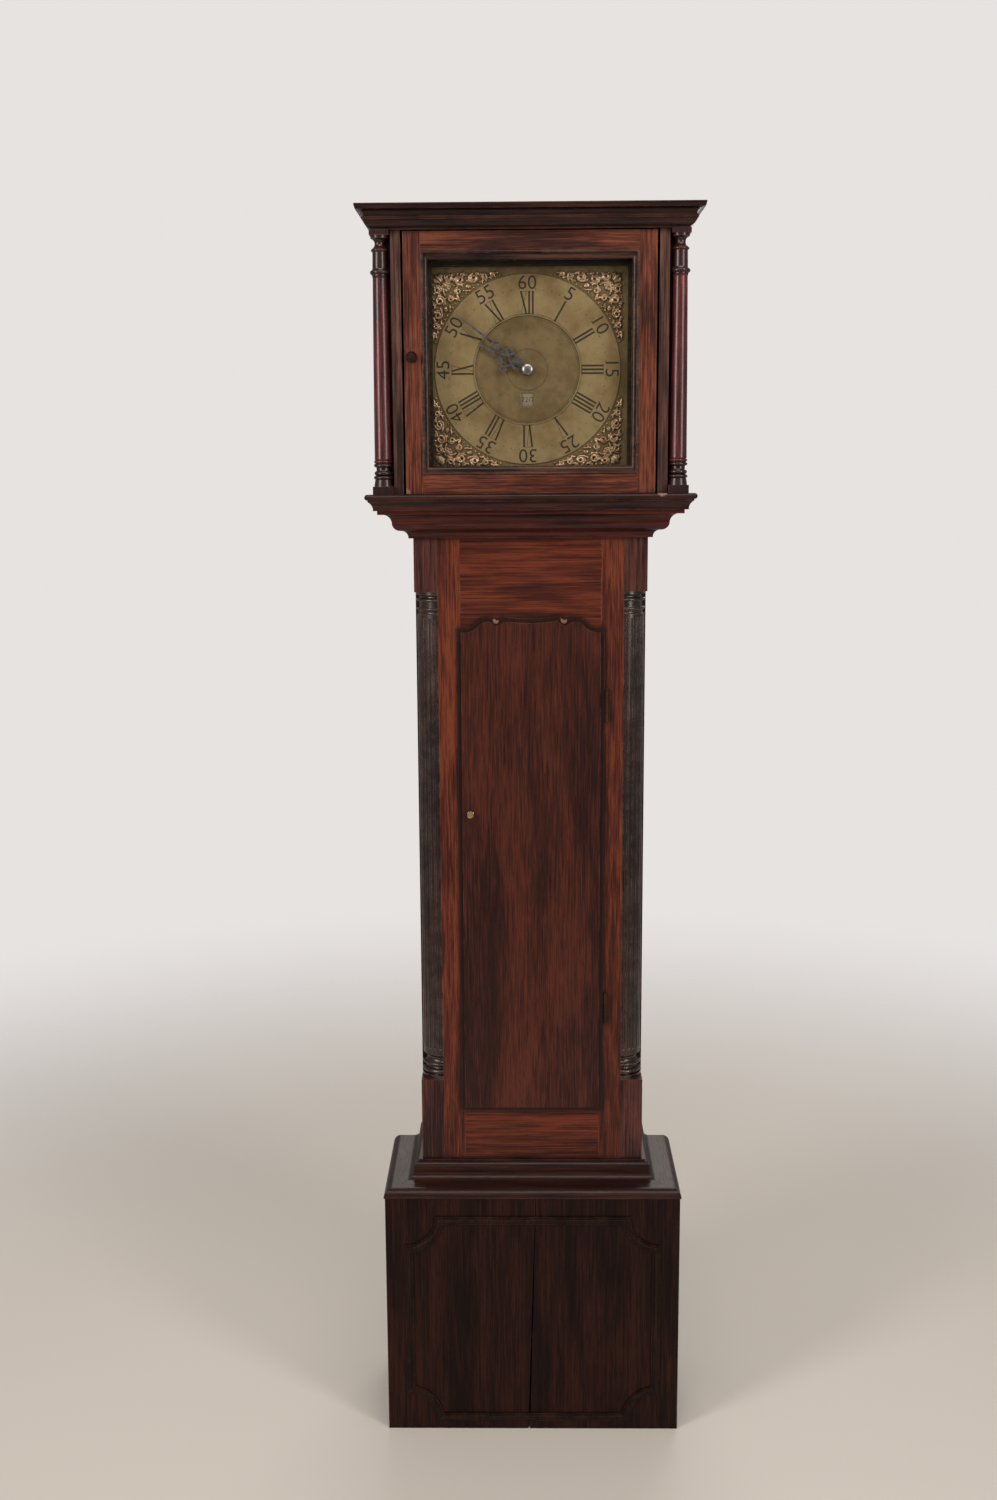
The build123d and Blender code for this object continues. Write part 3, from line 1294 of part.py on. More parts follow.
strike_pin_count = 8
strike_pin_circle = 19.0
with BuildPart() as pin_wheel:
    arbor(pin)
    add(layered(pinion(great_module, pin_pinion_teeth, bearing(pin, strike_great)), pin_pinion_layer, pin))
    add(layered(wheel(third_module, pin_teeth, bearing(pin, fly_spot)), pin_layer, pin))
    with BuildSketch(dial_plane(pin_layer[1], *pin)):
        Circle(strike_pin_circle + pin_rim)
        Circle(strike_pin_circle - pin_rim, mode=Mode.SUBTRACT)
    extrude(amount=pin_layer[1] - pin_layer[0])
    for index in range(strike_pin_count):
        angle = math.radians((index + 0.5) * 360 / strike_pin_count)
        rod(pin[0] + strike_pin_circle * math.cos(angle), pin[1] + strike_pin_circle * math.sin(angle),
            lifting_pin_radius,
            (pin_layer[0] - lifting_pin_length, pin_layer[0]))
save(pin_wheel.part, "pin_wheel")

vane_half = 17.0
with BuildPart() as fly:
    arbor(fly_spot)
    add(layered(pinion(third_module, fly_pinion_teeth, bearing(fly_spot, pin)), fly_pinion_layer, fly_spot))
    with BuildSketch(dial_plane(movement_y + fly_vanes_at, *fly_spot)):
        Rectangle(2 * vane_half, vane_thickness, rotation=vane_turn)
        Circle(arbor_radius + 1.0)
    extrude(amount=vane_width)
save(fly.part, "fly")

bell_mouth = dial_z + plate_rise + 3.0
bell_height = 37.0
bell_wall = 2.4
bell_y = sprocket_y + 1.0
quarter_round = 0.5523


def dome_points(radius, height):
    """Control points of a quarter oval, from its rim to its crown."""
    return (radius, 0), (radius, height * quarter_round), (radius * quarter_round, height), (0, height)


with BuildPart() as bell:
    with BuildSketch(Plane.XZ):
        with BuildLine():
            outer = Bezier(*dome_points(bell_radius, bell_height))
            Line(outer @ 1, (0, bell_height - bell_wall))
            inner = Bezier(*dome_points(bell_radius - bell_wall, bell_height - bell_wall))
            Line(inner @ 0, outer @ 0)
        make_face()
    revolve(axis=Axis.Z)
    with Locations((0, 0, bell_height)):
        Cylinder(pivot_radius + bore_clearance, 12.0, mode=Mode.SUBTRACT)
save(bell.part.moved(Location((dial_x + bell_x, bell_y, bell_mouth))), "bell")

stand_half = 3.0
stand_top = bell_mouth + bell_height + head_clearance
with BuildPart() as bell_stand:
    stand_x = (dial_x + bell_x - stand_half, dial_x + bell_x + stand_half)
    slab(stand_x, (back_rear, cock_rear + 2 * stand_half),
         (dial_z + stand_rise, dial_z + stand_rise + stand_foot_height))
    slab(stand_x, (cock_rear, cock_rear + 2 * stand_half), (dial_z + stand_rise, stand_top))
    slab(stand_x, (bell_y - stand_half, cock_rear + 2 * stand_half), (stand_top - stand_bar, stand_top))
    with Locations((dial_x + bell_x, bell_y, (stand_top + bell_mouth + bell_height) / 2)):
        Cylinder(stand_half, stand_top - bell_mouth - bell_height)
    with Locations((dial_x + bell_x, bell_y, bell_mouth + bell_height - 2.0)):
        Cylinder(pivot_radius, 8.0)
    with Locations((dial_x + bell_x, bell_y, bell_mouth + bell_height - bell_wall - 3.2)):
        Cylinder(4.0, 3.0)
save(bell_stand.part, "bell_stand")

hammer_gap = 1.5
head_radius = 6.0
head = (bell_x - bell_radius - hammer_gap - head_radius, plate_rise + 8.0)
tail_length = 10.0
with BuildPart() as hammer:
    arbor(hammer_spot)
    stem_start = (dial_x + hammer_spot[0], bell_y, dial_z + hammer_spot[1])
    stem_end = (dial_x + head[0], bell_y, dial_z + head[1])
    with BuildSketch(Plane(origin=stem_start, z_dir=Vector(*stem_end) - Vector(*stem_start))):
        Circle(1.8)
    extrude(amount=math.dist(stem_start, stem_end))
    with Locations(stem_end):
        Sphere(head_radius)
    slab((stem_start[0], stem_start[0] + tail_length),
         (pin_layer[0] - lifting_pin_length, pin_layer[0] - 1.0),
         (stem_start[2] - 1.2, stem_start[2] + 1.2))
save(hammer.part, "hammer")

# Weights on one endless chain: over both chain wheels, under the weight's pulley and round the loose loop

fall_top = dial_z - great_drop
inner_fall = great_x - chain_radius
outer_fall = great_x + chain_radius
link_radius = chain_thickness / 2
with BuildPart() as chain_over_wheels:
    for side in (-1, 1):
        with BuildLine(dial_plane(sprocket_y, side * great_x, -great_drop)) as over:
            ThreePointArc((-chain_radius, 0), (0, chain_radius), (chain_radius, 0))
        with BuildSketch(Plane(origin=over.line @ 0, z_dir=over.line % 0)):
            Circle(link_radius)
        sweep(path=over.line)
save(chain_over_wheels.part, "chain_over_wheels")

with BuildPart() as weight_chain:
    for side in (-1, 1):
        with Locations((dial_x + side * inner_fall, sprocket_y, (fall_top + pulley_z) / 2)):
            Cylinder(link_radius, fall_top - pulley_z)
save(weight_chain.part, "weight_chain")

with BuildPart() as weight_chain_bend:
    with BuildLine(facing(sprocket_y, dial_x, pulley_z)) as under:
        ThreePointArc((-inner_fall, 0), (0, -inner_fall), (inner_fall, 0))
    with BuildSketch(Plane(origin=under.line @ 0, z_dir=under.line % 0)):
        Circle(link_radius)
    sweep(path=under.line)
save(weight_chain_bend.part, "weight_chain_bend")

pulley_groove = inner_fall - link_radius - rattle
pulley_rim = inner_fall + 2.0
pulley_half = 5.0
stirrup_half = pulley_half + 3.0
weight_top = pulley_z - pulley_rim - stirrup_head
with BuildPart() as drive_weight:
    with BuildSketch(facing(sprocket_y + pulley_half, dial_x, pulley_z)):
        Circle(pulley_groove)
    extrude(amount=2 * pulley_half)
    for side in (-1, 1):
        near = sprocket_y + side * (link_radius + rattle)
        far = sprocket_y + side * pulley_half
        with BuildSketch(facing(max(near, far), dial_x, pulley_z)):
            Circle(pulley_rim)
        extrude(amount=abs(far - near))
        slab((dial_x - stirrup_half_width, dial_x + stirrup_half_width),
             (sprocket_y + side * pulley_half, sprocket_y + side * stirrup_half),
              (weight_top - stirrup_thickness, pulley_z + 8.0))
    slab((dial_x - stirrup_half_width, dial_x + stirrup_half_width),
         (sprocket_y - stirrup_half, sprocket_y + stirrup_half),
         (weight_top - stirrup_thickness, weight_top))
    with Locations((dial_x, sprocket_y, weight_top - stirrup_thickness - weight_height / 2)):
        Cylinder(weight_radius, weight_height)
    weight_rims = drive_weight.edges().filter_by(GeomType.CIRCLE)
    fillet([rim for rim in weight_rims if abs(rim.radius - weight_radius) < 0.01], weight_edge_round)
save(drive_weight.part, "drive_weight")

loop_top = ring_weight_z + outer_fall
lean_front = sprocket_y - ring_weight_lean
with BuildPart() as slack_chain:
    for side in (-1, 1):
        fall_start = Vector(dial_x + side * outer_fall, sprocket_y, fall_top)
        fall_end = Vector(dial_x + side * outer_fall, lean_front, loop_top)
        with BuildSketch(Plane(origin=fall_start, z_dir=(0, 0, -1))):
            Circle(link_radius)
        extrude(amount=(fall_end - fall_start).length, dir=fall_end - fall_start)
save(slack_chain.part, "slack_chain")

sleeve_radius = 5.0
sleeve_angle = math.radians(18)
with BuildPart() as ring_weight:
    for reach_angle, tube in ((math.pi / 2, link_radius), (sleeve_angle, sleeve_radius)):
        low_x = outer_fall * math.sin(reach_angle)
        low_z = -outer_fall * math.cos(reach_angle)
        with BuildLine(facing(lean_front, dial_x, loop_top)) as loop:
            ThreePointArc((-low_x, low_z), (0, -outer_fall), (low_x, low_z))
        with BuildSketch(Plane(origin=loop.line @ 0, z_dir=loop.line % 0)):
            Circle(tube)
        sweep(path=loop.line)
save(ring_weight.part, "ring_weight")
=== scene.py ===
"""Looks of a longcase clock: wood, brass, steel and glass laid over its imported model.

Sizes and places are in millimetres, except those of the lamps and the floor; meshes are in metres. The
front faces -Y, and the floor is z = 0.
"""

from __future__ import annotations

import logging
import math
from contextlib import contextmanager
from dataclasses import dataclass, field
from enum import Enum
from typing import Any, Callable, Iterable, Iterator

import bpy
from bpy.types import Material, Node, NodeSocket, NodeTree, Object
from mathutils import Matrix, Vector

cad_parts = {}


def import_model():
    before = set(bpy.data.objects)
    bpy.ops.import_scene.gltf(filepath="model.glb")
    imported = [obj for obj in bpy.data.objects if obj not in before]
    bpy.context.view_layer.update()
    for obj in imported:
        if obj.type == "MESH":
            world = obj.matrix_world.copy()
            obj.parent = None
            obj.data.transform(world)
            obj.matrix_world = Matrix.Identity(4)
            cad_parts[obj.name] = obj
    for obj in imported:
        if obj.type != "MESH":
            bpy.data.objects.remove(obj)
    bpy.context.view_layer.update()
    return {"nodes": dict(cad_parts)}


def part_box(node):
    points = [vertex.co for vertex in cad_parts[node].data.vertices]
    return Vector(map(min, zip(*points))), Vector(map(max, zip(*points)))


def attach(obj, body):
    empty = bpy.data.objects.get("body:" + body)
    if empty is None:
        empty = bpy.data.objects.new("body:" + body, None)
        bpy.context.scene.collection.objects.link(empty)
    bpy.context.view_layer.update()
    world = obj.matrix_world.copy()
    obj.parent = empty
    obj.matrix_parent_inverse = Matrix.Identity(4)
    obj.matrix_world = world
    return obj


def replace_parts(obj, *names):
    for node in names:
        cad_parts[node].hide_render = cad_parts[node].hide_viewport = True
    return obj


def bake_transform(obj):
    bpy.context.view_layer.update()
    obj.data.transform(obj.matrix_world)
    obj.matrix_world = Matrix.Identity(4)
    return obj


LOG = logging.getLogger("longcase_clock")
MM = 0.001
FACING_FRONT = (math.pi / 2, 0, 0)

# Places of the frame that the pieces are set by
DIAL_X, DIAL_Z = -4.0, 1735.3
RING_FACE_Y = -52.4
PLATE_FACE_Y = -50.4
MITRE_REACH = 139.9
HOOD_SIGHT_HALF = 162.6
SHAFT_FOOT, SHAFT_HEAD = 1597.0, 1869.0
DOOR_STEP_Y = -49.9


def linear(colour: str) -> tuple[float, float, float, float]:
    """Turns an sRGB hex colour into the linear values that a socket takes.

    Args:
        colour: Six hex digits, with a leading hash.

    Returns:
        Red, green, blue and an alpha of 1.
    """
    shares = [int(colour[place:place + 2], 16) / 255 for place in (1, 3, 5)]
    red, green, blue = ((c / 12.92) if c <= 0.04045 else ((c + 0.055) / 1.055) ** 2.4 for c in shares)
    return red, green, blue, 1.0


def add_node(
    tree: NodeTree, kind: str, feeds: dict[Any, Any] | None = None, **settings: Any
) -> Node:
    """Adds a shader node with its settings and what feeds it.

    Args:
        tree: The material's or world's node tree.
        kind: The node's type, without the word that all shader nodes start with.
        feeds: By input name or number, a node, one of its sockets, a value, or an sRGB hex colour.
        settings: Values of the node's own properties.

    Returns:
        The new node.
    """
    node = tree.nodes.new(f"ShaderNode{kind}")
    for name, value in settings.items():
        setattr(node, name, value)
    for name, feed in (feeds or {}).items():
        if isinstance(feed, Node):
            feed = next(socket for socket in feed.outputs if socket.enabled)
        if isinstance(feed, NodeSocket):
            tree.links.new(feed, node.inputs[name])
        else:
            node.inputs[name].default_value = linear(feed) if isinstance(feed, str) else feed
    return node


def start_material(name: str) -> tuple[Material, NodeTree, NodeSocket]:
    """Makes an empty material.

    Args:
        name: The material's name.

    Returns:
        The material, its tree and its object coordinates.
    """
    material = bpy.data.materials.new(name)
    material.use_nodes = True
    tree = material.node_tree
    tree.nodes.clear()
    return material, tree, add_node(tree, "TexCoord").outputs["Object"]


def edge_mask(tree: NodeTree, reach: float, sharpness: float, strength: float = 1.0) -> Node:
    """Marks edges, where a rounded normal leaves the true one; they are lightened as wear and, in some
    finishes, as painted highlight.

    Args:
        tree: The node tree.
        reach: How far from an edge the wear reaches.
        sharpness: How quickly the mask rises.
        strength: The mask's value on an edge.

    Returns:
        A mask that is 0 on flats.
    """
    rounded = add_node(tree, "Bevel", {"Radius": reach * MM}, samples=4)
    flat = add_node(tree, "NewGeometry").outputs["Normal"]
    aligned = add_node(tree, "VectorMath", {0: rounded, 1: flat}, operation="DOT_PRODUCT")
    return add_node(tree, "MapRange", {"Value": aligned, "From Min": 1.0, "From Max": 1 - 1 / sharpness,
                                       "To Max": strength})


def crevice_mask(tree: NodeTree, reach: float, strength: float) -> Node:
    """Marks creases and quirks by how hidden they are, for painted shade there, together with the old polish
    and dust that gather in them.

    Args:
        tree: The node tree.
        reach: How far the darkness spreads.
        strength: The mask's value in the deepest crease.

    Returns:
        A mask that is 0 in the open.
    """
    # Ambient occlusion: the darkness it drives is painted shade in the creases, standing also for dirt
    hidden = add_node(tree, "AmbientOcclusion", {"Distance": reach * MM}, samples=4).outputs["AO"]
    return add_node(tree, "MapRange", {"Value": hidden, "From Min": 1.0, "From Max": 0.0, "To Max": strength})


class Joinery(Enum):
    """How the grain runs over a piece."""

    UPRIGHT = "along z"
    ACROSS = "along x"
    DEEP = "along y"
    MITRED = "along the front length, and along y on the returns"
    FRAMED = "along z on the stiles, and along x on the rails"


@dataclass(frozen=True)
class PolishedOak:
    """Aged oak under many coats of polish: a dark, streaky figure with open pores and a soft shine."""

    name: str
    dark: str
    middle: str
    light: str
    # Edge colour: partly wear and partly painted highlight
    worn: str
    joinery: Joinery = Joinery.UPRIGHT
    streak: float = 5.0
    figure: float = 42.0
    pore: float = 1.3
    run: float = 16.0
    roughness: float = 0.42
    # How strongly edges are lightened, as wear and partly as painted highlight
    wear: float = 0.5
    shine: float = 0.12
    relief: float = 0.35
    ior: float = 1.3
    # How strongly slopes turned from the front, and the wood behind the lip at step_y, are darkened as
    # painted shade
    slope_dark: float = 0.35
    step_y: float | None = None
    shaft: tuple[float, float] | None = None
    chips: tuple[tuple[float, float, float, float], ...] = ()
    seed: float = 0.0
    chipped: str = "#86695A"
    # Colour laid in creases by ambient occlusion: painted shade, together with dirt
    grime: str = "#0E0705"
    turned_ends: str = "#150A09"
    end_dark: float = 0.8
    tone_stops: tuple[float, float, float] = (0.425, 0.5, 0.575)
    pore_dark: float = 0.55
    patch_scale: float = 26.0
    edge_reach: float = 1.6
    edge_sharpness: float = 9.0
    # Reach and strength of the painted shade and dirt in creases
    grime_reach: float = 9.0
    grime_share: float = 0.75
    coat_roughness: float = 0.24

    def grain_vector(self, tree: NodeTree, place: NodeSocket) -> NodeSocket | Node:
        """Turns object coordinates so that z runs along the grain.

        Args:
            tree: The node tree.
            place: Object coordinates.

        Returns:
            Coordinates in metres, with z along the grain.
        """
        x, y, z = add_node(tree, "SeparateXYZ", {0: place}).outputs
        across = add_node(tree, "CombineXYZ", {0: z, 1: y, 2: x})
        deep = add_node(tree, "CombineXYZ", {0: x, 1: z, 2: y})
        plain = {Joinery.UPRIGHT: place, Joinery.ACROSS: across, Joinery.DEEP: deep}
        if self.joinery in plain:
            return plain[self.joinery]
        reach, limit, beyond = add_node(tree, "Math", {0: x}, operation="ABSOLUTE"), HOOD_SIGHT_HALF, place
        if self.joinery is Joinery.MITRED:
            reach = add_node(tree, "Math", {0: reach, 1: y}, operation="ADD")
            limit, beyond = MITRE_REACH, deep
        past = add_node(tree, "Math", {0: reach, 1: limit * MM}, operation="GREATER_THAN")
        return add_node(tree, "Mix", {0: past, 4: across, 5: beyond}, data_type="VECTOR")

    def layer(
        self, tree: NodeTree, grain: Any, width: float, run: float, start: float, **look: float
    ) -> Node:
        """Adds one layer of the grain, drawn out along it.

        Args:
            tree: The node tree.
            grain: Coordinates with z along the grain.
            width: The pattern's width across the grain.
            run: How many times longer than wide it is.
            start: Where the pattern starts, so that no two are alike.
            look: The noise's own detail, roughness and distortion.

        Returns:
            The noise.
        """
        scale = 1 / (width * MM)
        offset = (start + self.seed * 3.7, self.seed * 1.9, self.seed * 2.3)
        feeds = {"Vector": grain, "Location": offset, "Scale": (scale, scale, scale / run)}
        return add_node(tree, "TexNoise", {"Vector": add_node(tree, "Mapping", feeds), "Scale": 1.0, **look})

    def darkened(self, tree: NodeTree, wood: Node) -> Node:
        """Paints shade on moulded slopes that turn away from the front and on the wood behind a stepped lip,
        and darkens turned ends to their own near-black.

        Args:
            tree: The node tree.
            wood: The colour of the sound wood.

        Returns:
            The darkened colour.
        """
        spot = add_node(tree, "TexCoord")
        # Painted shade: faces that turn from the front are darkened by their normal
        normal_y = add_node(tree, "SeparateXYZ", {0: spot.outputs["Normal"]}).outputs["Y"]
        level = add_node(tree, "Math", {0: normal_y}, operation="ABSOLUTE")
        slope = add_node(tree, "MapRange", {"Value": level, "From Min": 0.97, "From Max": 0.637})
        _, y, z = add_node(tree, "SeparateXYZ", {0: spot.outputs["Object"]}).outputs
        # Painted shade on the wood set back behind the lip
        if self.step_y is not None:
            step = add_node(tree, "Math", {0: y, 1: self.step_y * MM}, operation="GREATER_THAN")
            slope = add_node(tree, "Math", {0: slope, 1: step}, operation="MAXIMUM")
        share = add_node(tree, "Math", {0: slope, 1: self.slope_dark}, operation="MULTIPLY")
        wood = add_node(tree, "Mix", {0: share, 6: wood, 7: self.dark}, data_type="RGBA")
        if self.shaft is None:
            return wood
        middle, half = sum(self.shaft) / 2 * MM, (self.shaft[1] - self.shaft[0]) / 2 * MM
        away = add_node(tree, "Math", {0: z, 1: middle}, operation="SUBTRACT")
        away = add_node(tree, "Math", {0: away}, operation="ABSOLUTE")
        ends = add_node(tree, "Math", {0: away, 1: half}, operation="GREATER_THAN")
        ends = add_node(tree, "Math", {0: ends, 1: self.end_dark}, operation="MULTIPLY")
        return add_node(tree, "Mix", {0: ends, 6: wood, 7: self.turned_ends}, data_type="RGBA")

    def chip_mask(
        self, tree: NodeTree, place: NodeSocket, ragged: Node
    ) -> Node | float:
        """Marks where the edge is knocked off down to pale wood.

        Args:
            tree: The node tree.
            place: Object coordinates.
            ragged: Noise that breaks the marks' outlines.

        Returns:
            A mask from 0 on sound wood to 1 in a chip, or 0 where there is none.
        """
        marks: Any = 0.0
        rough = add_node(tree, "Math", {0: ragged, 1: 2.2}, operation="MULTIPLY")
        for *middle, radius in self.chips:
            away = add_node(tree, "VectorMath", {0: place, 1: [c * MM for c in middle]}, operation="DISTANCE")
            share = add_node(tree, "Math", {0: away, 1: radius * MM}, operation="DIVIDE")
            inside = add_node(tree, "Math", {0: rough, 1: share}, operation="SUBTRACT")
            chip = add_node(tree, "MapRange", {"Value": inside, "From Min": 0.0, "From Max": 0.25})
            marks = add_node(tree, "Math", {0: marks, 1: chip}, operation="MAXIMUM")
        return marks

    def build(self) -> Material:
        """Makes the wood: figure, streaks, pores, edges lightened as wear and partly as painted highlight,
        chips, painted shade on slopes, and creases darkened as painted shade and dirt.

        Returns:
            The material.
        """
        material, tree, place = start_material(self.name)
        grain = self.grain_vector(tree, place)
        figure = self.layer(tree, grain, self.figure, self.run * 0.35, 0.0, Detail=3.0, Distortion=0.6)
        streak = self.layer(tree, grain, self.streak, self.run, 5.0, Detail=5.0, Roughness=0.62)
        pores = self.layer(tree, grain, self.pore, self.run, 9.0, Detail=2.0)
        lines = self.layer(tree, grain, self.streak * 0.45, self.run * 4, 2.0, Detail=2.0)
        tone = add_node(tree, "Math", {0: lines, 1: 0.3}, operation="MULTIPLY")
        for noise, share in ((streak, 0.36), (figure, 0.34)):
            tone = add_node(tree, "Math", {0: noise, 1: share, 2: tone}, operation="MULTIPLY_ADD")
        wood = add_node(tree, "ValToRGB", {0: tone})
        stops = wood.color_ramp.elements
        stops.new(self.tone_stops[1])
        for stop, position, colour in zip(stops, self.tone_stops, (self.dark, self.middle, self.light)):
            stop.position, stop.color = position, linear(colour)
        open_pore = add_node(tree, "MapRange", {"Value": pores, "From Min": 0.46, "From Max": 0.317})
        share = add_node(tree, "Math", {0: open_pore, 1: self.pore_dark}, operation="MULTIPLY")
        wood = add_node(tree, "Mix", {0: share, 6: wood, 7: self.dark}, data_type="RGBA")
        wood = self.darkened(tree, wood)
        patch = add_node(tree, "TexNoise", {"Vector": place, "Scale": self.patch_scale, "Detail": 4.0,
                                            "Roughness": 0.7})
        # Patches that break up the edge lightening, which is wear and partly painted highlight
        rubbed = add_node(tree, "MapRange", {"Value": patch, "From Min": 0.42, "From Max": 0.62,
                                             "To Max": self.wear})
        edges = add_node(tree, "Math", {0: edge_mask(tree, self.edge_reach, self.edge_sharpness), 1: rubbed},
                         operation="MULTIPLY")
        # Edges lightened as wear and partly as painted highlight, chips of pale wood, and painted shade with
        # dirt in creases
        for mask, colour in ((edges, self.worn), (self.chip_mask(tree, place, patch), self.chipped),
                             (crevice_mask(tree, self.grime_reach, self.grime_share), self.grime)):
            wood = add_node(tree, "Mix", {0: mask, 6: wood, 7: colour}, data_type="RGBA")
        haze = add_node(tree, "Math", {0: patch, 1: 0.2, 2: self.roughness - 0.1}, operation="MULTIPLY_ADD")
        haze = add_node(tree, "Math", {0: open_pore, 1: 0.12, 2: haze}, operation="MULTIPLY_ADD")
        height = add_node(tree, "Math", {0: open_pore, 1: -0.5, 2: streak}, operation="MULTIPLY_ADD")
        bump = add_node(tree, "Bump", {"Strength": self.relief, "Distance": 0.4 * MM, "Height": height})
        shader = add_node(tree, "BsdfPrincipled", {
            "Base Color": wood, "Roughness": haze, "Normal": bump, "IOR": self.ior, "Coat Weight": self.shine,
            "Coat Roughness": self.coat_roughness})
        add_node(tree, "OutputMaterial", {"Surface": shader})
        return material


@dataclass(frozen=True)
class OldBrass:
    """Cast or hammered brass gone dull: warm metal under green and brown tarnish."""

    name: str
    metal: str
    brown: str
    green: str
    # Edge colour: rubbed brass and partly painted highlight
    bright: str
    tarnish: float = 0.6
    roughness: float = 0.4
    metallic: float = 0.85
    grain: float = 0.7
    relief: float = 0.2
    edge_shine: float = 0.5
    # Colour laid in creases by ambient occlusion: painted shade, together with dirt
    grime: str = "#1C150C"
    cloud_scale: float = 19.0
    spot_scale: float = 75.0
    edge_reach: float = 0.7
    edge_sharpness: float = 7.0
    # Reach and strength of the painted shade and dirt in creases
    grime_reach: float = 3.0
    grime_share: float = 0.7

    def build(self) -> Material:
        """Makes the metal with clouds of tarnish, fine scratches, edges lightened as rubbed brass and partly
        as painted highlight, and painted shade with dirt in creases.

        Returns:
            The material.
        """
        material, tree, place = start_material(self.name)
        cloud = add_node(tree, "TexNoise", {"Vector": place, "Scale": self.cloud_scale, "Detail": 5.0,
                                            "Roughness": 0.6})
        spots = add_node(tree, "TexNoise", {"Vector": place, "Scale": self.spot_scale, "Detail": 4.0,
                                            "Roughness": 0.7})
        brown = add_node(tree, "MapRange", {"Value": cloud, "From Min": 0.42, "From Max": 0.642,
                                            "To Max": self.tarnish})
        green = add_node(tree, "MapRange", {"Value": spots, "From Min": 0.5, "From Max": 0.75,
                                            "To Max": self.tarnish})
        # Edges lightened as rubbed brass and partly as painted highlight; creases darkened as painted shade
        # with dirt
        edges = edge_mask(tree, self.edge_reach, self.edge_sharpness, self.edge_shine)
        metal: Any = self.metal
        for mask, colour in ((brown, self.brown), (green, self.green), (edges, self.bright),
                             (crevice_mask(tree, self.grime_reach, self.grime_share), self.grime)):
            metal = add_node(tree, "Mix", {0: mask, 6: metal, 7: colour}, data_type="RGBA")
        dull = add_node(tree, "Math", {0: green, 1: 0.15 / self.tarnish, 2: self.roughness},
                        operation="MULTIPLY_ADD")
        grain = add_node(tree, "TexNoise", {"Vector": place, "Scale": 1 / (self.grain * MM), "Detail": 2.0})
        bump = add_node(tree, "Bump", {"Strength": self.relief, "Distance": 0.3 * MM, "Height": grain})
        shader = add_node(tree, "BsdfPrincipled", {
            "Base Color": metal, "Roughness": dull, "Normal": bump, "Metallic": self.metallic})
        add_node(tree, "OutputMaterial", {"Surface": shader})
        return material


@dataclass(frozen=True)
class DarkSteel:
    """Filed and blued steel or iron: grey metal with a fine directionless grain."""

    name: str
    metal: str
    dark: str
    roughness: float = 0.35
    metallic: float = 0.9
    rubbed: str = "#B9B4AE"
    stain_scale: float = 120.0
    edge_reach: float = 0.5
    edge_sharpness: float = 8.0
    edge_shine: float = 0.5

    def build(self) -> Material:
        """Makes the steel with slight stains and rubbed edges.

        Returns:
            The material.
        """
        material, tree, place = start_material(self.name)
        noise = add_node(tree, "TexNoise", {"Vector": place, "Scale": self.stain_scale, "Detail": 5.0})
        stain = add_node(tree, "MapRange", {"Value": noise, "From Min": 0.44, "From Max": 0.64})
        edges = edge_mask(tree, self.edge_reach, self.edge_sharpness, self.edge_shine)
        metal = add_node(tree, "Mix", {0: stain, 6: self.metal, 7: self.dark}, data_type="RGBA")
        metal = add_node(tree, "Mix", {0: edges, 6: metal, 7: self.rubbed}, data_type="RGBA")
        dull = add_node(tree, "Math", {0: stain, 1: 0.15, 2: self.roughness}, operation="MULTIPLY_ADD")
        shader = add_node(tree, "BsdfPrincipled", {
            "Base Color": metal, "Roughness": dull, "Metallic": self.metallic})
        add_node(tree, "OutputMaterial", {"Surface": shader})
        return material


@dataclass(frozen=True)
class EngravingWax:
    """Black wax melted into engraved strokes: matt, nearly black, a little faded."""

    name: str = "engraving_wax"
    black: str = "#0C0A08"
    faded: str = "#241C12"
    roughness: float = 0.7

    def build(self) -> Material:
        """Makes the wax.

        Returns:
            The material.
        """
        material, tree, place = start_material(self.name)
        fade = add_node(tree, "TexNoise", {"Vector": place, "Scale": 300.0, "Detail": 3.0})
        wax = add_node(tree, "Mix", {0: fade, 6: self.black, 7: self.faded}, data_type="RGBA")
        shader = add_node(tree, "BsdfPrincipled", {"Base Color": wax, "Roughness": self.roughness})
        add_node(tree, "OutputMaterial", {"Surface": shader})
        return material


@dataclass(frozen=True)
class OldGlass:
    """A thin old crown-glass pane: clear, very slightly wavy and smeared."""

    name: str = "old_glass"
    tint: str = "#1A1E1A"
    ior: float = 1.3
    alpha: float = 0.05
    roughness: float = 0.02

    def build(self) -> Material:
        """Makes the pane: mostly see-through, with a faint gloss.

        Returns:
            The material.
        """
        material, tree, place = start_material(self.name)
        wave = add_node(tree, "TexNoise", {"Vector": place, "Scale": 12.0, "Detail": 1.0})
        bump = add_node(tree, "Bump", {"Strength": 0.06, "Distance": 2 * MM, "Height": wave})
        shader = add_node(tree, "BsdfPrincipled", {
            "Base Color": self.tint, "Roughness": self.roughness, "IOR": self.ior, "Alpha": self.alpha,
            "Normal": bump})
        add_node(tree, "OutputMaterial", {"Surface": shader})
        return material


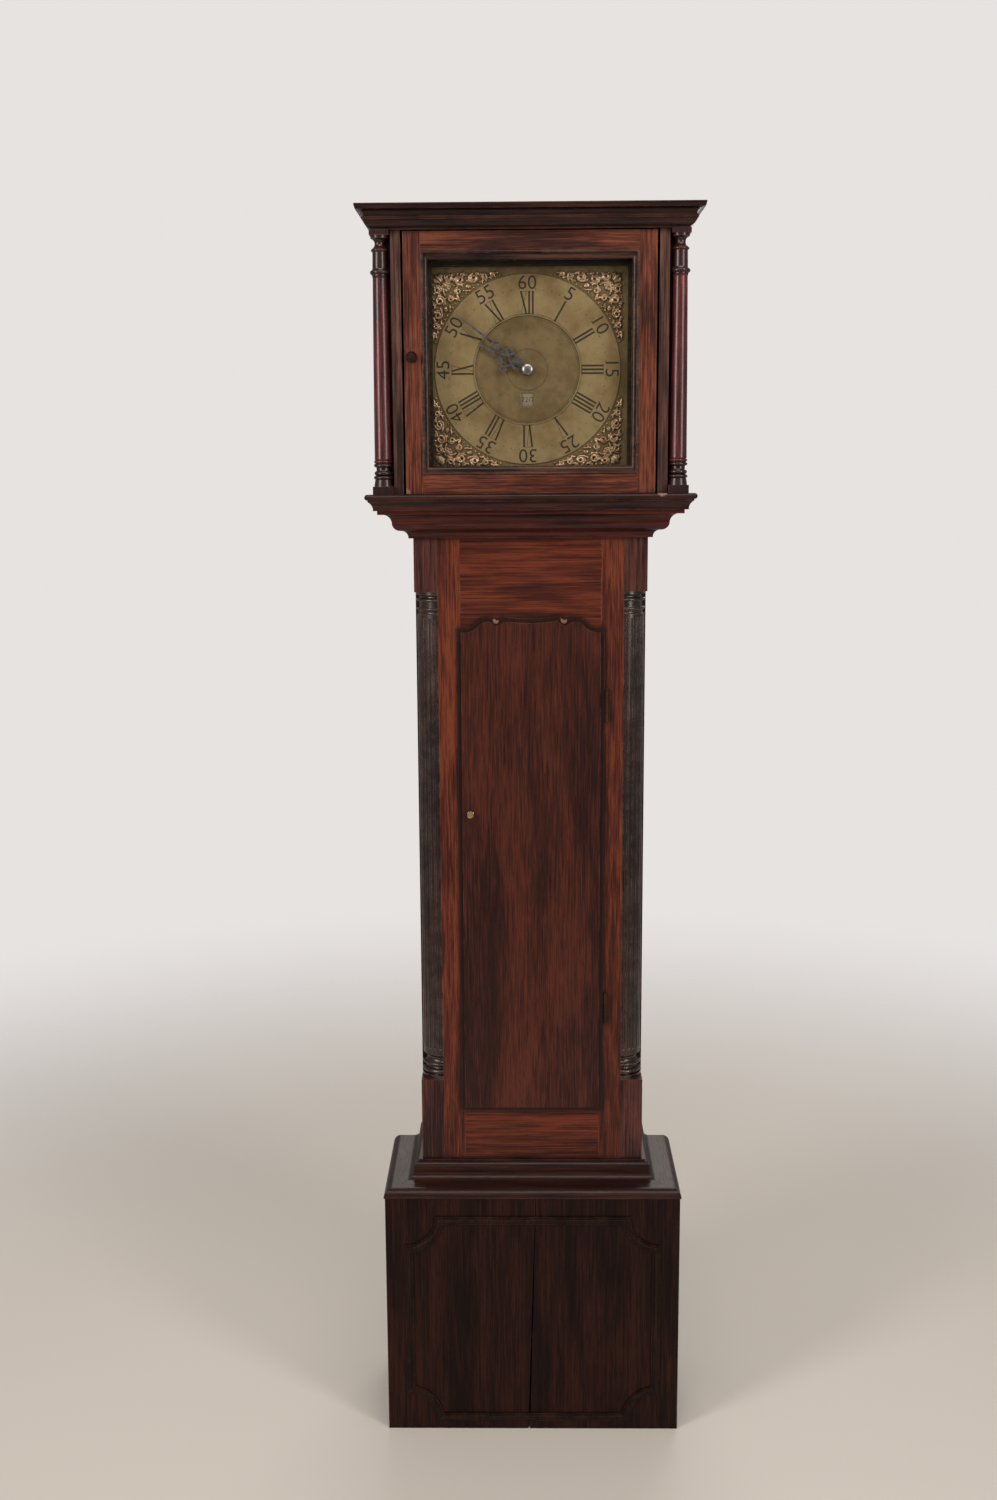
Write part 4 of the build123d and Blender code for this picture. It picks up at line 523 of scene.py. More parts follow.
FINISHES: dict[str, Any] = {
    # Fumed and polished boards of the trunk: red-brown, with fine streaks, and painted shade on the moulded
    # edges and behind the lip
    "trunk_door": PolishedOak("oak_trunk_door", "#240D09", "#3D1A12", "#542619", "#8A5A3A", streak=3.2,
        figure=60.0, roughness=0.4, slope_dark=0.9, step_y=DOOR_STEP_Y, seed=1.0,
        chips=((-54.5, -48.0, 1353.5, 5.0), (52.0, -48.0, 1354.0, 6.0))),
    "trunk_stiles": PolishedOak("oak_stiles", "#31120B", "#562518", "#753822", "#A06A42", streak=3.5,
        seed=2.0),
    "trunk_rails": PolishedOak("oak_rails", "#2E1009", "#502012", "#6E301C", "#966040", Joinery.ACROSS,
        streak=3.4, figure=20.0, run=26.0, seed=3.0),
    "corner_blocks": PolishedOak("oak_blocks", "#26110F", "#472623", "#60352D", "#8A5536", seed=4.0),
    "trunk_sides": PolishedOak("oak_trunk_sides", "#1C0C09", "#341811", "#4A2319", "#7A4E35", seed=9.0),
    # Blackened polish, with a wet shine on the flutes and rings, and pale arrises that are partly wear and
    # partly painted highlight
    "quarter_columns": PolishedOak("oak_quarter_columns", "#120807", "#22110E", "#3A1E17", "#8A7066",
        roughness=0.24, wear=0.8, shine=0.6, ior=1.4, slope_dark=0.0, seed=5.0),
    # The base, hardly cleaned: near black and almost without gloss
    "base_front": PolishedOak("oak_base_front", "#130705", "#220E0B", "#321710", "#6B4430",
        roughness=0.46, wear=0.4, ior=1.2, shine=0.06, seed=6.0),
    "base_panel_moulding": PolishedOak("oak_panel_edging", "#0F0705", "#1E0F0B", "#2E1811", "#6E4832",
        roughness=0.36, wear=0.6, ior=1.2, shine=0.06, seed=7.0),
    "base_sides": PolishedOak("oak_base_sides", "#130705", "#230F0B", "#341710", "#6B4430", ior=1.2,
        shine=0.06, seed=8.0),
    # Mouldings, rubbed on their edges, with painted shade and dirt in their hollows
    "base_moulding": PolishedOak("oak_base_moulding", "#160807", "#2A140F", "#3D1E16", "#7A4830",
        Joinery.MITRED, roughness=0.36, wear=0.6, shine=0.2, seed=10.0),
    "throat_moulding": PolishedOak("oak_throat_moulding", "#250B08", "#441812", "#602619", "#8C5638",
        Joinery.MITRED, roughness=0.36, wear=0.6, shine=0.2, seed=11.0),
    "hood_base_moulding": PolishedOak("oak_hood_base", "#180908", "#301511", "#462018", "#8A5A3C",
        Joinery.MITRED, roughness=0.34, wear=0.8, shine=0.2, chips=((199.0, -106.0, 1551.5, 7.0),),
        seed=12.0),
    "hood_cornice": PolishedOak("oak_cornice", "#150908", "#281411", "#3B201A", "#84502F", Joinery.MITRED,
        roughness=0.34, wear=0.6, shine=0.2, seed=13.0),
    # The hood's frames, handled the most: lighter red-brown, with a soft gloss
    "hood_door_frame": PolishedOak("oak_hood_door", "#2E150F", "#582B1F", "#79422E", "#9A6845",
        Joinery.FRAMED, streak=3.4, roughness=0.38, wear=0.6, chips=((-187.0, -88.0, 1552.0, 6.0),),
        seed=14.0),
    "hood_door_moulding": PolishedOak("oak_glazing_moulding", "#1B0C0A", "#36201A", "#54362A", "#94705A",
        Joinery.FRAMED, roughness=0.3, wear=0.9, shine=0.25, seed=15.0),
    "hood_front_frame": PolishedOak("oak_hood_posts", "#221614", "#452C26", "#67463B", "#8A6450",
        seed=16.0),
    "hood_sides": PolishedOak("oak_hood_sides", "#1B0B08", "#341711", "#4A2319", "#7A4E35", seed=17.0),
    # Turned work: cherry-red shafts with long highlights between black ends
    "hood_columns": PolishedOak("oak_hood_columns", "#260B0D", "#4C171B", "#6E2A2B", "#8A4634",
        streak=3.0, roughness=0.3, wear=0.7, shine=0.45, relief=0.05, ior=1.4, slope_dark=0.0,
        shaft=(SHAFT_FOOT, SHAFT_HEAD), seed=18.0),
    "hood_door_knob": PolishedOak("oak_hood_knob", "#140807", "#27110E", "#3D1E17", "#6E4028",
        Joinery.DEEP, roughness=0.26, wear=0.3, shine=0.2, relief=0.05, slope_dark=0.0, seed=19.0),
    # Bare wood: a stained mask behind the glass, and pine boards gone grey-brown
    "dial_mask": PolishedOak("oak_dial_mask", "#15120B", "#2A2417", "#3A3220", "#5A4A30", Joinery.ACROSS,
        roughness=0.6, wear=0.2, shine=0.0, seed=20.0),
    "plain_board": PolishedOak("pine_boards", "#553B27", "#684A31", "#7D5D3F", "#A6845A", streak=7.0,
        roughness=0.72, wear=0.3, shine=0.0, seed=21.0),
    # Dial brass: matted in the centre and smooth on the ring, dull green-brown all over
    "dial_plate": OldBrass("brass_dial_centre", "#8E7954", "#665134", "#5C5935", "#D8C297", tarnish=0.8,
        roughness=0.46, metallic=0.7, grain=1.1, relief=0.5),
    "chapter_ring": OldBrass("brass_chapter_ring", "#B39C70", "#8A6C44", "#7A7748", "#F8EDC0",
        tarnish=0.75, metallic=0.7, grain=2.5, relief=0.08),
    # Pale edges on the castings: rubbed brass and partly painted highlight
    "spandrels": OldBrass("brass_spandrels", "#C6A684", "#7A573A", "#6A5B3E", "#FFE4C4", tarnish=0.7,
        roughness=0.3, grain=0.9, relief=0.4, edge_shine=0.8),
    "date_metal": OldBrass("brass_date_ring", "#A89A84", "#7A6C58", "#6E6850", "#E0D6C0", tarnish=0.5,
        roughness=0.42, metallic=0.6),
    # Brass that was turned and filed bright, and dulled since
    "movement": OldBrass("brass_movement", "#BF9F58", "#8C6A36", "#8A7A44", "#EBD491", tarnish=0.35,
        roughness=0.34, metallic=0.95),
    "bright_brass": OldBrass("brass_fittings", "#B28E4E", "#7A5A30", "#6E6036", "#F0D998", tarnish=0.4,
        roughness=0.28, metallic=0.95),
    "knob_brass": OldBrass("brass_knob", "#D9BC84", "#9A7A48", "#8A7C50", "#FFEFC4", tarnish=0.25,
        roughness=0.22, metallic=0.95),
    "hinge_brass": OldBrass("brass_hinges", "#4A3420", "#2C1B12", "#2F2A1C", "#7A5E3A", tarnish=0.8,
        roughness=0.5, metallic=0.8),
    "bell_metal": OldBrass("bell_metal", "#B99C68", "#8A6C40", "#7C7448", "#E6D09C", tarnish=0.4,
        roughness=0.3, metallic=0.95, grain=3.0, relief=0.06),
    # Steel and iron: grey, stained, and bright only where they rub
    "hand_steel": DarkSteel("steel_hands", "#8E8A88", "#4E4A4C", roughness=0.3),
    "movement_steel": DarkSteel("steel_movement", "#7C7C80", "#4A4A50"),
    "chain_iron": DarkSteel("iron_chain", "#6C6864", "#38322E", roughness=0.45),
    "iron": DarkSteel("iron_weight", "#4A4644", "#2A2624", roughness=0.55),
    "boss_steel": DarkSteel("steel_boss", "#A9A5A3", "#6C6868", roughness=0.28),
    # Matt black in the cuts, and a clear pane with a faint gloss
    "wax": EngravingWax(),
    "glass": OldGlass(),
}

SHARED_FINISHES: dict[str, tuple[str, ...]] = {
    "hood_columns": ("hood_column_left", "hood_column_right"),
    "plain_board": ("base_bottom_board", "backboard", "seat_board", "hood_top_board"),
    "spandrels": ("dial_spandrels",),
    "date_metal": ("date_ring",),
    "knob_brass": ("trunk_door_knob",),
    "hinge_brass": ("trunk_hinge_case_leaves", "trunk_hinge_door_leaves", "hood_hinge_door_leaves",
                    "hood_hinge_frame_leaves"),
    "movement": ("movement_frame", "centre_wheel", "hour_wheel", "minute_wheel", "great_wheel", "third_wheel",
                 "escape_wheel", "back_cock", "strike_great_wheel", "pin_wheel", "fly"),
    "bright_brass": ("pendulum_bob", "drive_weight"),
    "bell_metal": ("bell",),
    "hand_steel": ("hour_hand", "minute_hand"),
    "movement_steel": ("anchor", "pendulum_rod", "bell_stand", "hammer"),
    "chain_iron": ("chain_over_wheels", "weight_chain", "weight_chain_bend", "slack_chain"),
    "iron": ("ring_weight",),
    "glass": ("hood_door_glass",),
}


@dataclass
class FinishShop:
    """Keeps each finish's material, so that it is made once."""

    made: dict[str, Material] = field(default_factory=dict)

    def dress(self, piece: Object, finish: str) -> None:
        """Gives a piece one finish all over.

        Args:
            piece: The piece, or a node of the frame.
            finish: A key of FINISHES.
        """
        if finish not in self.made:
            self.made[finish] = FINISHES[finish].build()
        piece.data.materials.clear()
        piece.data.materials.append(self.made[finish])

    def dress_frame(self, nodes: dict[str, Object]) -> None:
        """Gives each node of the frame its finish.

        Args:
            nodes: The frame's nodes by name.
        """
        shared = {name: finish for finish, names in SHARED_FINISHES.items() for name in names}
        for name, node in nodes.items():
            self.dress(node, shared.get(name, name))
            LOG.info("dressed %s", name)


SHOP = FinishShop()


def choose(pieces: Iterable[Object]) -> None:
    """Selects some pieces alone, and makes the first one active.

    Args:
        pieces: The pieces to work on.
    """
    bpy.ops.object.select_all(action="DESELECT")
    chosen = list(pieces)
    for piece in chosen:
        piece.select_set(True)
    if chosen:
        bpy.context.view_layer.objects.active = chosen[0]


def settle(piece: Object) -> None:
    """Moves a piece's place, turn and size into its mesh.

    Args:
        piece: The piece.
    """
    choose([piece])
    bpy.ops.object.transform_apply(location=True, rotation=True, scale=True)


def begun(operator: Callable[..., Any], **sizes: Any) -> Object:
    """Adds a primitive with nothing else selected, and settles it.

    Args:
        operator: The operator that adds it.
        sizes: Its size and place.

    Returns:
        The primitive, ready to be shaped.
    """
    choose([])
    operator(**sizes)
    piece = bpy.context.object
    settle(piece)
    return piece


@contextmanager
def editing(piece: Object) -> Iterator[None]:
    """Opens a piece in edit mode, and closes it afterwards.

    Args:
        piece: The piece.

    Returns:
        A context that the edits are made in.
    """
    choose([piece])
    bpy.ops.object.mode_set(mode="EDIT")
    yield
    bpy.ops.object.mode_set(mode="OBJECT")


def joined(pieces: Iterable[Object], name: str) -> Object:
    """Joins pieces into one mesh at the origin.

    Args:
        pieces: The pieces.
        name: The new piece's name.

    Returns:
        The joined piece.
    """
    choose(pieces)
    bpy.ops.object.join()
    whole = bpy.context.view_layer.objects.active
    whole.name = name
    settle(whole)
    return whole


def finished(piece: Object, finish: str, body: str) -> Object:
    """Dresses a piece and lets it ride on its body.

    Args:
        piece: The piece, placed in its mesh.
        finish: A key of FINISHES.
        body: The body that carries it.

    Returns:
        The same piece.
    """
    SHOP.dress(piece, finish)
    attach(piece, body)
    LOG.info("made %s, %d faces, on %s", piece.name, len(piece.data.polygons), body)
    return piece


def on_dial(x: float, z: float, y: float) -> Vector:
    """Turns a place on the dial into the frame's metres.

    Args:
        x: Distance right of the dial's middle.
        z: Distance above the dial's middle.
        y: Depth in the frame.

    Returns:
        The point.
    """
    return Vector(((DIAL_X + x) * MM, y * MM, (DIAL_Z + z) * MM))


@dataclass(frozen=True)
class Stroke:
    """A straight stroke of a numeral, across and outwards from the numeral's middle."""

    foot: tuple[float, float]
    head: tuple[float, float]
    width: float


@dataclass
class RomanNumeral:
    """An hour's numeral: thick strokes that kept their wax, and hairlines nearly rubbed away."""

    word: str
    height: float = 33.0
    thick: float = 2.6
    thin: float = 0.55
    pitch: float = 5.6
    vee: float = 11.0
    gap: float = 1.4
    serif: float = 0.5
    serif_inset: float = 0.4

    def strokes(self) -> list[Stroke]:
        """Lays out the numeral's strokes about its own middle.

        Returns:
            The strokes.
        """
        widths = {"I": self.pitch, "V": self.vee, "X": self.vee}
        total = sum(widths[letter] for letter in self.word)
        half, left, reach = self.height / 2, -total / 2, self.vee / 2 - self.gap
        made = []
        for letter in self.word:
            middle = left + widths[letter] / 2
            foot = reach if letter == "X" else 0.0
            if letter == "I":
                made.append(Stroke((middle, -half), (middle, half), self.thick))
            else:
                made.append(Stroke((middle + foot, -half), (middle - reach, half), self.thick))
                made.append(Stroke((middle - foot, -half), (middle + reach, half), self.thin))
            left += widths[letter]
        end = total / 2 - self.serif_inset
        return made + [Stroke((-end, level), (end, level), self.serif) for level in (-half, half)]


@dataclass
class Engraver:
    """Cuts figures, circles and dots, and lays them as thin wax just proud of a face of the dial."""

    face_y: float = RING_FACE_Y
    lift: float = 0.05
    circle_sides: int = 144
    cuts: list[Object] = field(default_factory=list)

    def place(self, piece: Object, radius: float = 0.0, turn: float = 0.0) -> None:
        """Carries a flat piece drawn upright about the origin out to its place on the dial.

        Args:
            piece: The piece, in the xz plane.
            radius: Its distance from the dial's middle.
            turn: Its turn clockwise from the top, in radians.
        """
        piece.rotation_euler = (0, turn, 0)
        piece.location = on_dial(radius * math.sin(turn), radius * math.cos(turn), self.face_y - self.lift)
        settle(piece)
        self.cuts.append(piece)

    def stroke(self, stroke: Stroke) -> Object:
        """Makes one stroke as a slender bar with a cut end, about the origin.

        Args:
            stroke: The stroke.

        Returns:
            The bar.
        """
        (foot_x, foot_z), (head_x, head_z) = stroke.foot, stroke.head
        bar = begun(bpy.ops.mesh.primitive_plane_add, size=MM, rotation=FACING_FRONT)
        bar.scale = (stroke.width, 1, math.dist(stroke.foot, stroke.head))
        settle(bar)
        bar.rotation_euler = (0, math.atan2(head_x - foot_x, head_z - foot_z), 0)
        bar.location = ((foot_x + head_x) / 2 * MM, 0, (foot_z + head_z) / 2 * MM)
        settle(bar)
        return bar

    def numeral(self, numeral: RomanNumeral, radius: float, turn: float) -> None:
        """Cuts a Roman numeral with its foot towards the dial's middle.

        Args:
            numeral: The numeral.
            radius: The distance of its middle.
            turn: Its turn clockwise from the top, in radians.
        """
        self.place(joined([self.stroke(stroke) for stroke in numeral.strokes()], "numeral"), radius, turn)

    def figure(
        self, word: str, height: float, squeeze: float, radius: float, turn: float, weight: float = 0.0
    ) -> None:
        """Cuts Arabic figures.

        Args:
            word: The figures.
            height: Their height.
            squeeze: Their width against their natural width.
            radius: The distance of their middle.
            turn: Their turn clockwise from the top, in radians.
            weight: How much the strokes are fattened or thinned.
        """
        choose([])
        bpy.ops.object.text_add(rotation=FACING_FRONT)
        text = bpy.context.object
        text.data.body, text.data.offset, text.data.resolution_u = word, weight, 5
        text.data.align_x = text.data.align_y = "CENTER"
        bpy.ops.object.convert(target="MESH")
        settle(text)
        across, along = ([vertex.co[axis] for vertex in text.data.vertices] for axis in (0, 2))
        size = height * MM / (max(along) - min(along))
        text.location = (-(min(across) + max(across)) / 2 * size * squeeze, 0,
                         -(min(along) + max(along)) / 2 * size)
        text.scale = (size * squeeze, 1, size)
        settle(text)
        self.place(text, radius, turn)

    def circle(self, radius: float, width: float = 0.35) -> None:
        """Cuts a line right round the dial.

        Args:
            radius: The circle's radius.
            width: The line's width.
        """
        inner, outer = (radius - width / 2) * MM, (radius + width / 2) * MM
        line = begun(bpy.ops.mesh.primitive_circle_add, vertices=self.circle_sides, radius=inner,
                     rotation=FACING_FRONT)
        with editing(line):
            bpy.ops.mesh.select_all(action="SELECT")
            bpy.ops.mesh.extrude_edges_move()
            bpy.ops.transform.resize(value=(outer / inner,) * 3, center_override=(0, 0, 0))
        self.place(line)

    def dot(self, radius: float, turn: float, size: float) -> None:
        """Cuts a small round dot.

        Args:
            radius: Its distance from the dial's middle.
            turn: Its turn clockwise from the top, in radians.
            size: Its width.
        """
        spot = begun(bpy.ops.mesh.primitive_circle_add, vertices=8, radius=size / 2 * MM, fill_type="NGON",
                     rotation=FACING_FRONT)
        with editing(spot):
            bpy.ops.mesh.inset(thickness=size * 0.1 * MM)
        self.place(spot, radius, turn)

    def collect(self, name: str) -> Object:
        """Joins what was cut, facing the front.

        Args:
            name: The piece's name.

        Returns:
            The joined cuts.
        """
        whole = joined(self.cuts, name)
        with editing(whole):
            bpy.ops.mesh.select_all(action="SELECT")
            bpy.ops.mesh.normals_make_consistent(inside=False)
        if sum(face.normal.y * face.area for face in whole.data.polygons) > 0:
            whole.data.flip_normals()
        self.cuts = []
        return whole


@dataclass
class Dial:
    """What is cut into the brass dial and fixed on it: hours, minutes, circles, date and the boss."""

    hour_radius: float = 98.8
    minute_radius: float = 128.4
    minute_height: float = 20.0
    minute_squeeze: float = 1.02
    minute_weight: float = -0.004
    hours: tuple[str, ...] = ("XII", "I", "II", "III", "IIII", "V", "VI", "VII", "VIII", "IX", "X", "XI")
    dot_radius: float = 119.5
    dot_size: float = 1.5
    ring_circles: tuple[float, ...] = (81.6, 83.0)
    centre_circles: tuple[float, ...] = (30.0, 31.4, 76.5)
    date_z: float = -44.0
    date_height: float = 7.0
    date_squeeze: float = 0.8
    shown_date: int = 21
    window: tuple[float, float] = (10.4, 11.6)
    window_line: float = 1.0
    boss_radius: float = 9.4
    boss_rim: float = 1.2
    boss_sides: int = 40
    boss_lift: float = 0.55
    boss_steps: tuple[tuple[float, float], ...] = ((0.86, 1.3), (0.78, 1.0), (0.6, 0.6), (0.3, 0.2))

    def build_figures(self) -> None:
        """Cuts the chapter ring."""
        engraver = Engraver()
        for place, word in enumerate(self.hours):
            turn = place * math.tau / 12
            engraver.numeral(RomanNumeral(word), self.hour_radius, turn)
            engraver.figure(str(place * 5 or 60), self.minute_height, self.minute_squeeze,
                            self.minute_radius, turn, self.minute_weight)
        for minute in range(60):
            if minute % 5:
                engraver.dot(self.dot_radius, minute * math.tau / 60, self.dot_size)
        for radius in self.ring_circles:
            engraver.circle(radius)
        finished(engraver.collect("chapter_figures"), "wax", "case")

    def build_centre(self) -> None:
        """Cuts the circles of the matted centre, and the bright edge of the date window."""
        engraver = Engraver(face_y=PLATE_FACE_Y)
        for radius in self.centre_circles:
            engraver.circle(radius)
        finished(engraver.collect("centre_lines"), "wax", "case")
        half_x, half_z = self.window
        low, high = self.date_z - half_z, self.date_z + half_z
        corners = ((-half_x, low), (half_x, low), (half_x, high), (-half_x, high))
        for foot, head in zip(corners, corners[1:] + corners[:1]):
            engraver.place(engraver.stroke(Stroke(foot, head, self.window_line)))
        finished(engraver.collect("date_window_edge"), "knob_brass", "case")

    def build_date(self) -> None:
        """Cuts the thirty-one dates on the ring that turns behind the window."""
        engraver = Engraver(face_y=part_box("date_ring")[0].y / MM)
        for day in range(31):
            engraver.figure(str((day + self.shown_date - 1) % 31 + 1), self.date_height, self.date_squeeze,
                            self.date_z, day * math.tau / 31)
        finished(engraver.collect("date_figures"), "wax", "date_body")

    def build_boss(self) -> None:
        """Turns the domed steel boss that covers the pin of the hands."""
        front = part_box("minute_hand")[0].y / MM
        boss = begun(bpy.ops.mesh.primitive_cylinder_add, vertices=self.boss_sides,
                     radius=self.boss_radius * MM, depth=self.boss_rim * MM,
                     location=on_dial(0, 0, front - self.boss_lift), rotation=FACING_FRONT)
        boss.name = "hand_boss"
        with editing(boss):
            bpy.ops.mesh.select_mode(type="FACE")
            bpy.ops.mesh.select_all(action="DESELECT")
        for face in boss.data.polygons:
            face.select = face.normal.y < -0.9
        with editing(boss):
            for shrink, rise in self.boss_steps:
                bpy.ops.mesh.extrude_region_move(TRANSFORM_OT_translate={"value": (0, -rise * MM, 0)})
                bpy.ops.transform.resize(value=(shrink, 1, shrink), center_override=on_dial(0, 0, front))
        bpy.ops.object.shade_smooth_by_angle(angle=math.radians(50))
        finished(boss, "boss_steel", "minute_body")

    def build(self) -> None:
        """Makes everything on the dial."""
        self.build_figures()
        self.build_centre()
        self.build_date()
        self.build_boss()


@dataclass(frozen=True)
class Scroll:
    """A scroll of a casting: a tapering band that curls inwards, with its middle given from the corner."""

    along: float
    across: float
    outer: float
    inner: float
    start: float
    turns: float
    width: float


@dataclass(frozen=True)
class Sprig:
    """A short leaf that bends from its root to its tip, given from the corner."""

    root: tuple[float, float]
    bend: tuple[float, float]
    tip: tuple[float, float]
    width: float


@dataclass
class CornerCasting:
    """The cast brass scrollwork in a corner of the dial, alike on both sides of the diagonal.

    Places in it are a distance from the corner along the diagonal, and one across it.
    """

    corner: float = 144.0
    middle_y: float = -51.5
    grain: float = 0.68
    bead_radius: float = 1.7
    bead_circle: float = 145.4
    bead_half_angle: float = 28.5
    beads: int = 21
    scroll_points: int = 15
    flower: float = 30.0
    flower_radius: float = 4.6
    flower_height: float = 0.45
    petals: int = 8
    petal_circle: float = 5.6
    petal_radius: float = 2.4
    petal_height: float = 0.75
    scrolls: tuple[Scroll, ...] = (
        Scroll(24.0, 12.5, 7.6, 1.8, 3.4, 1.6, 1.5), Scroll(38.0, 21.5, 9.0, 2.0, 0.2, -1.7, 1.8),
        Scroll(47.5, 8.0, 6.4, 1.4, 2.4, 1.5, 1.5), Scroll(51.0, 38.0, 8.0, 1.8, 3.4, 1.6, 1.7),
        Scroll(60.5, 52.0, 6.0, 1.5, 0.4, -1.6, 1.5), Scroll(67.0, 63.0, 4.0, 1.2, 3.2, 1.4, 1.3),
        Scroll(13.0, 5.5, 3.6, 1.0, 2.8, 1.4, 1.3), Scroll(36.0, 31.0, 3.8, 1.0, 1.6, 1.4, 1.2),
        Scroll(54.0, 24.0, 3.6, 1.0, 4.4, -1.4, 1.2), Scroll(50.0, 47.0, 2.6, 0.8, 1.0, 1.3, 1.1),
    )
    sprigs: tuple[Sprig, ...] = (
        Sprig((20, 0), (12, 1), (4, 0), 2.4), Sprig((20, 3), (13, 5), (9, 8), 1.6),
        Sprig((26, 19), (24, 20), (23, 22), 1.8), Sprig((31, 24), (29, 26), (30, 28.5), 1.7),
        Sprig((38, 31), (40, 35), (39, 38), 1.8), Sprig((45, 37), (44, 40), (45.5, 43.5), 1.6),
        Sprig((53, 46), (54, 49), (53, 51.5), 1.6), Sprig((58, 53), (58, 55), (60, 58), 1.5),
        Sprig((66, 64), (69, 67), (72.5, 70.5), 2.2), Sprig((45, 28), (50, 30), (56, 34), 2.2),
        Sprig((52, 14), (56, 17), (59, 22), 2.0), Sprig((50, 3), (54, 2), (58.5, 0), 2.2),
        Sprig((60, 40), (63, 44), (64, 49), 1.8), Sprig((29, 6), (34, 9), (40, 11), 1.8),
        Sprig((40, 13), (44, 17), (49, 19), 1.8), Sprig((66, 54), (68, 58), (71, 64), 1.5),
        Sprig((20, 14), (17, 13), (16, 15), 1.4), Sprig((33, 13), (30, 16), (31, 20), 1.3),
    )

    def at(self, along: float, across: float, out: float = 0.0) -> Vector:
        """Turns a place in the top right casting into metres.

        Args:
            along: Distance from the corner along the diagonal.
            across: Distance across the diagonal.
            out: Distance towards the front.

        Returns:
            The point.
        """
        half = math.sqrt(0.5)
        return on_dial(self.corner - (along - across) * half, self.corner - (along + across) * half,
                       self.middle_y - out)

    def band(self, points: list[Vector], widths: list[float]) -> Object:
        """Sweeps a round band of changing width along some points.

        Args:
            points: The points in metres.
            widths: The band's half width at each point.

        Returns:
            The band as a mesh.
        """
        choose([])
        bpy.ops.curve.primitive_nurbs_path_add()
        band = bpy.context.object
        curve, spline = band.data, band.data.splines[0]
        spline.points.add(max(0, len(points) - len(spline.points)))
        for knot, point, width in zip(spline.points, points, widths):
            knot.co, knot.radius = (*point, 1), width
        spline.order_u = 3
        spline.use_endpoint_u = curve.use_fill_caps = True
        curve.resolution_u = curve.bevel_resolution = 2
        curve.bevel_depth = MM
        bpy.ops.object.convert(target="MESH")
        return band

    def scroll(self, scroll: Scroll, side: int) -> Object:
        """Makes a scroll, thickest half way round.

        Args:
            scroll: The scroll.
            side: 1 or -1, for the two sides of the diagonal.

        Returns:
            The scroll.
        """
        points, widths = [], []
        for place in range(self.scroll_points):
            share = place / (self.scroll_points - 1)
            angle = scroll.start + share * scroll.turns * math.tau
            reach = scroll.outer + (scroll.inner - scroll.outer) * share ** 0.8
            points.append(self.at(scroll.along + reach * math.cos(angle),
                                  side * (scroll.across + reach * math.sin(angle)), 0.2 + 0.5 * share))
            widths.append(scroll.width * (0.75 + 0.4 * math.sin(math.pi * share)))
        return self.band(points, widths)

    def sprig(self, sprig: Sprig, side: int) -> Object:
        """Makes a leaf, broad in the middle and pointed.

        Args:
            sprig: The leaf.
            side: 1 or -1, for the two sides of the diagonal.

        Returns:
            The leaf.
        """
        (root_a, root_b), (bend_a, bend_b), (tip_a, tip_b) = sprig.root, sprig.bend, sprig.tip
        places = (sprig.root, ((root_a + bend_a) / 2, (root_b + bend_b) / 2), sprig.bend,
                  ((bend_a + tip_a) / 2, (bend_b + tip_b) / 2), sprig.tip)
        shares = (0.6, 0.9, 1.0, 0.75, 0.3)
        return self.band([self.at(a, side * b, 0.3 * share) for (a, b), share in zip(places, shares)],
                         [sprig.width * share for share in shares])

    def bead(self, place: Vector, radius: float, height: float = 1.0) -> Object:
        """Makes a flattened bead.

        Args:
            place: Its middle, in metres.
            radius: Its radius.
            height: Its half depth against its radius.

        Returns:
            The bead.
        """
        choose([])
        bpy.ops.mesh.primitive_uv_sphere_add(segments=14, ring_count=9, radius=radius * MM, location=place)
        bead = bpy.context.object
        bead.scale = (1, height, 1)
        settle(bead)
        return bead

    def build_one(self) -> Object:
        """Models the top right casting once, as one skin.

        Returns:
            The casting.
        """
        parts = []
        for side in (-1, 1):
            parts += [self.scroll(scroll, side) for scroll in self.scrolls]
            parts += [self.sprig(sprig, side) for sprig in self.sprigs]
        for place in range(self.beads):
            angle = math.radians(45 + self.bead_half_angle * (2 * place / (self.beads - 1) - 1))
            x, z = self.bead_circle * math.cos(angle), self.bead_circle * math.sin(angle)
            parts.append(self.bead(on_dial(x, z, self.middle_y), self.bead_radius))
        parts.append(self.bead(self.at(self.flower, 0, 0.1), self.flower_radius, self.flower_height))
        for petal in range(self.petals):
            angle = petal * math.tau / self.petals
            along, across = self.petal_circle * math.cos(angle), self.petal_circle * math.sin(angle)
            spot = self.at(self.flower + along, across)
            parts.append(self.bead(spot, self.petal_radius, self.petal_height))
        casting = joined(parts, "corner_casting")
        skin = casting.modifiers.new("skin", "REMESH")
        skin.mode, skin.voxel_size = "VOXEL", self.grain * MM
        bpy.ops.object.modifier_apply(modifier=skin.name)
        bpy.ops.object.shade_smooth()
        return casting

    def build(self) -> None:
        """Copies the casting to the four corners and joins them, for the frame's own spandrels."""
        castings = [self.build_one()]
        for quarter in (1, 2, 3):
            choose(castings[:1])
            bpy.ops.object.duplicate()
            bpy.ops.transform.rotate(value=quarter * math.pi / 2, orient_axis="Y",
                                     center_override=on_dial(0, 0, self.middle_y))
            castings.append(bpy.context.object)
            settle(castings[-1])
        whole = joined(castings, "spandrel_castings")
        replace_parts(finished(whole, "spandrels", "case"), "dial_spandrels")


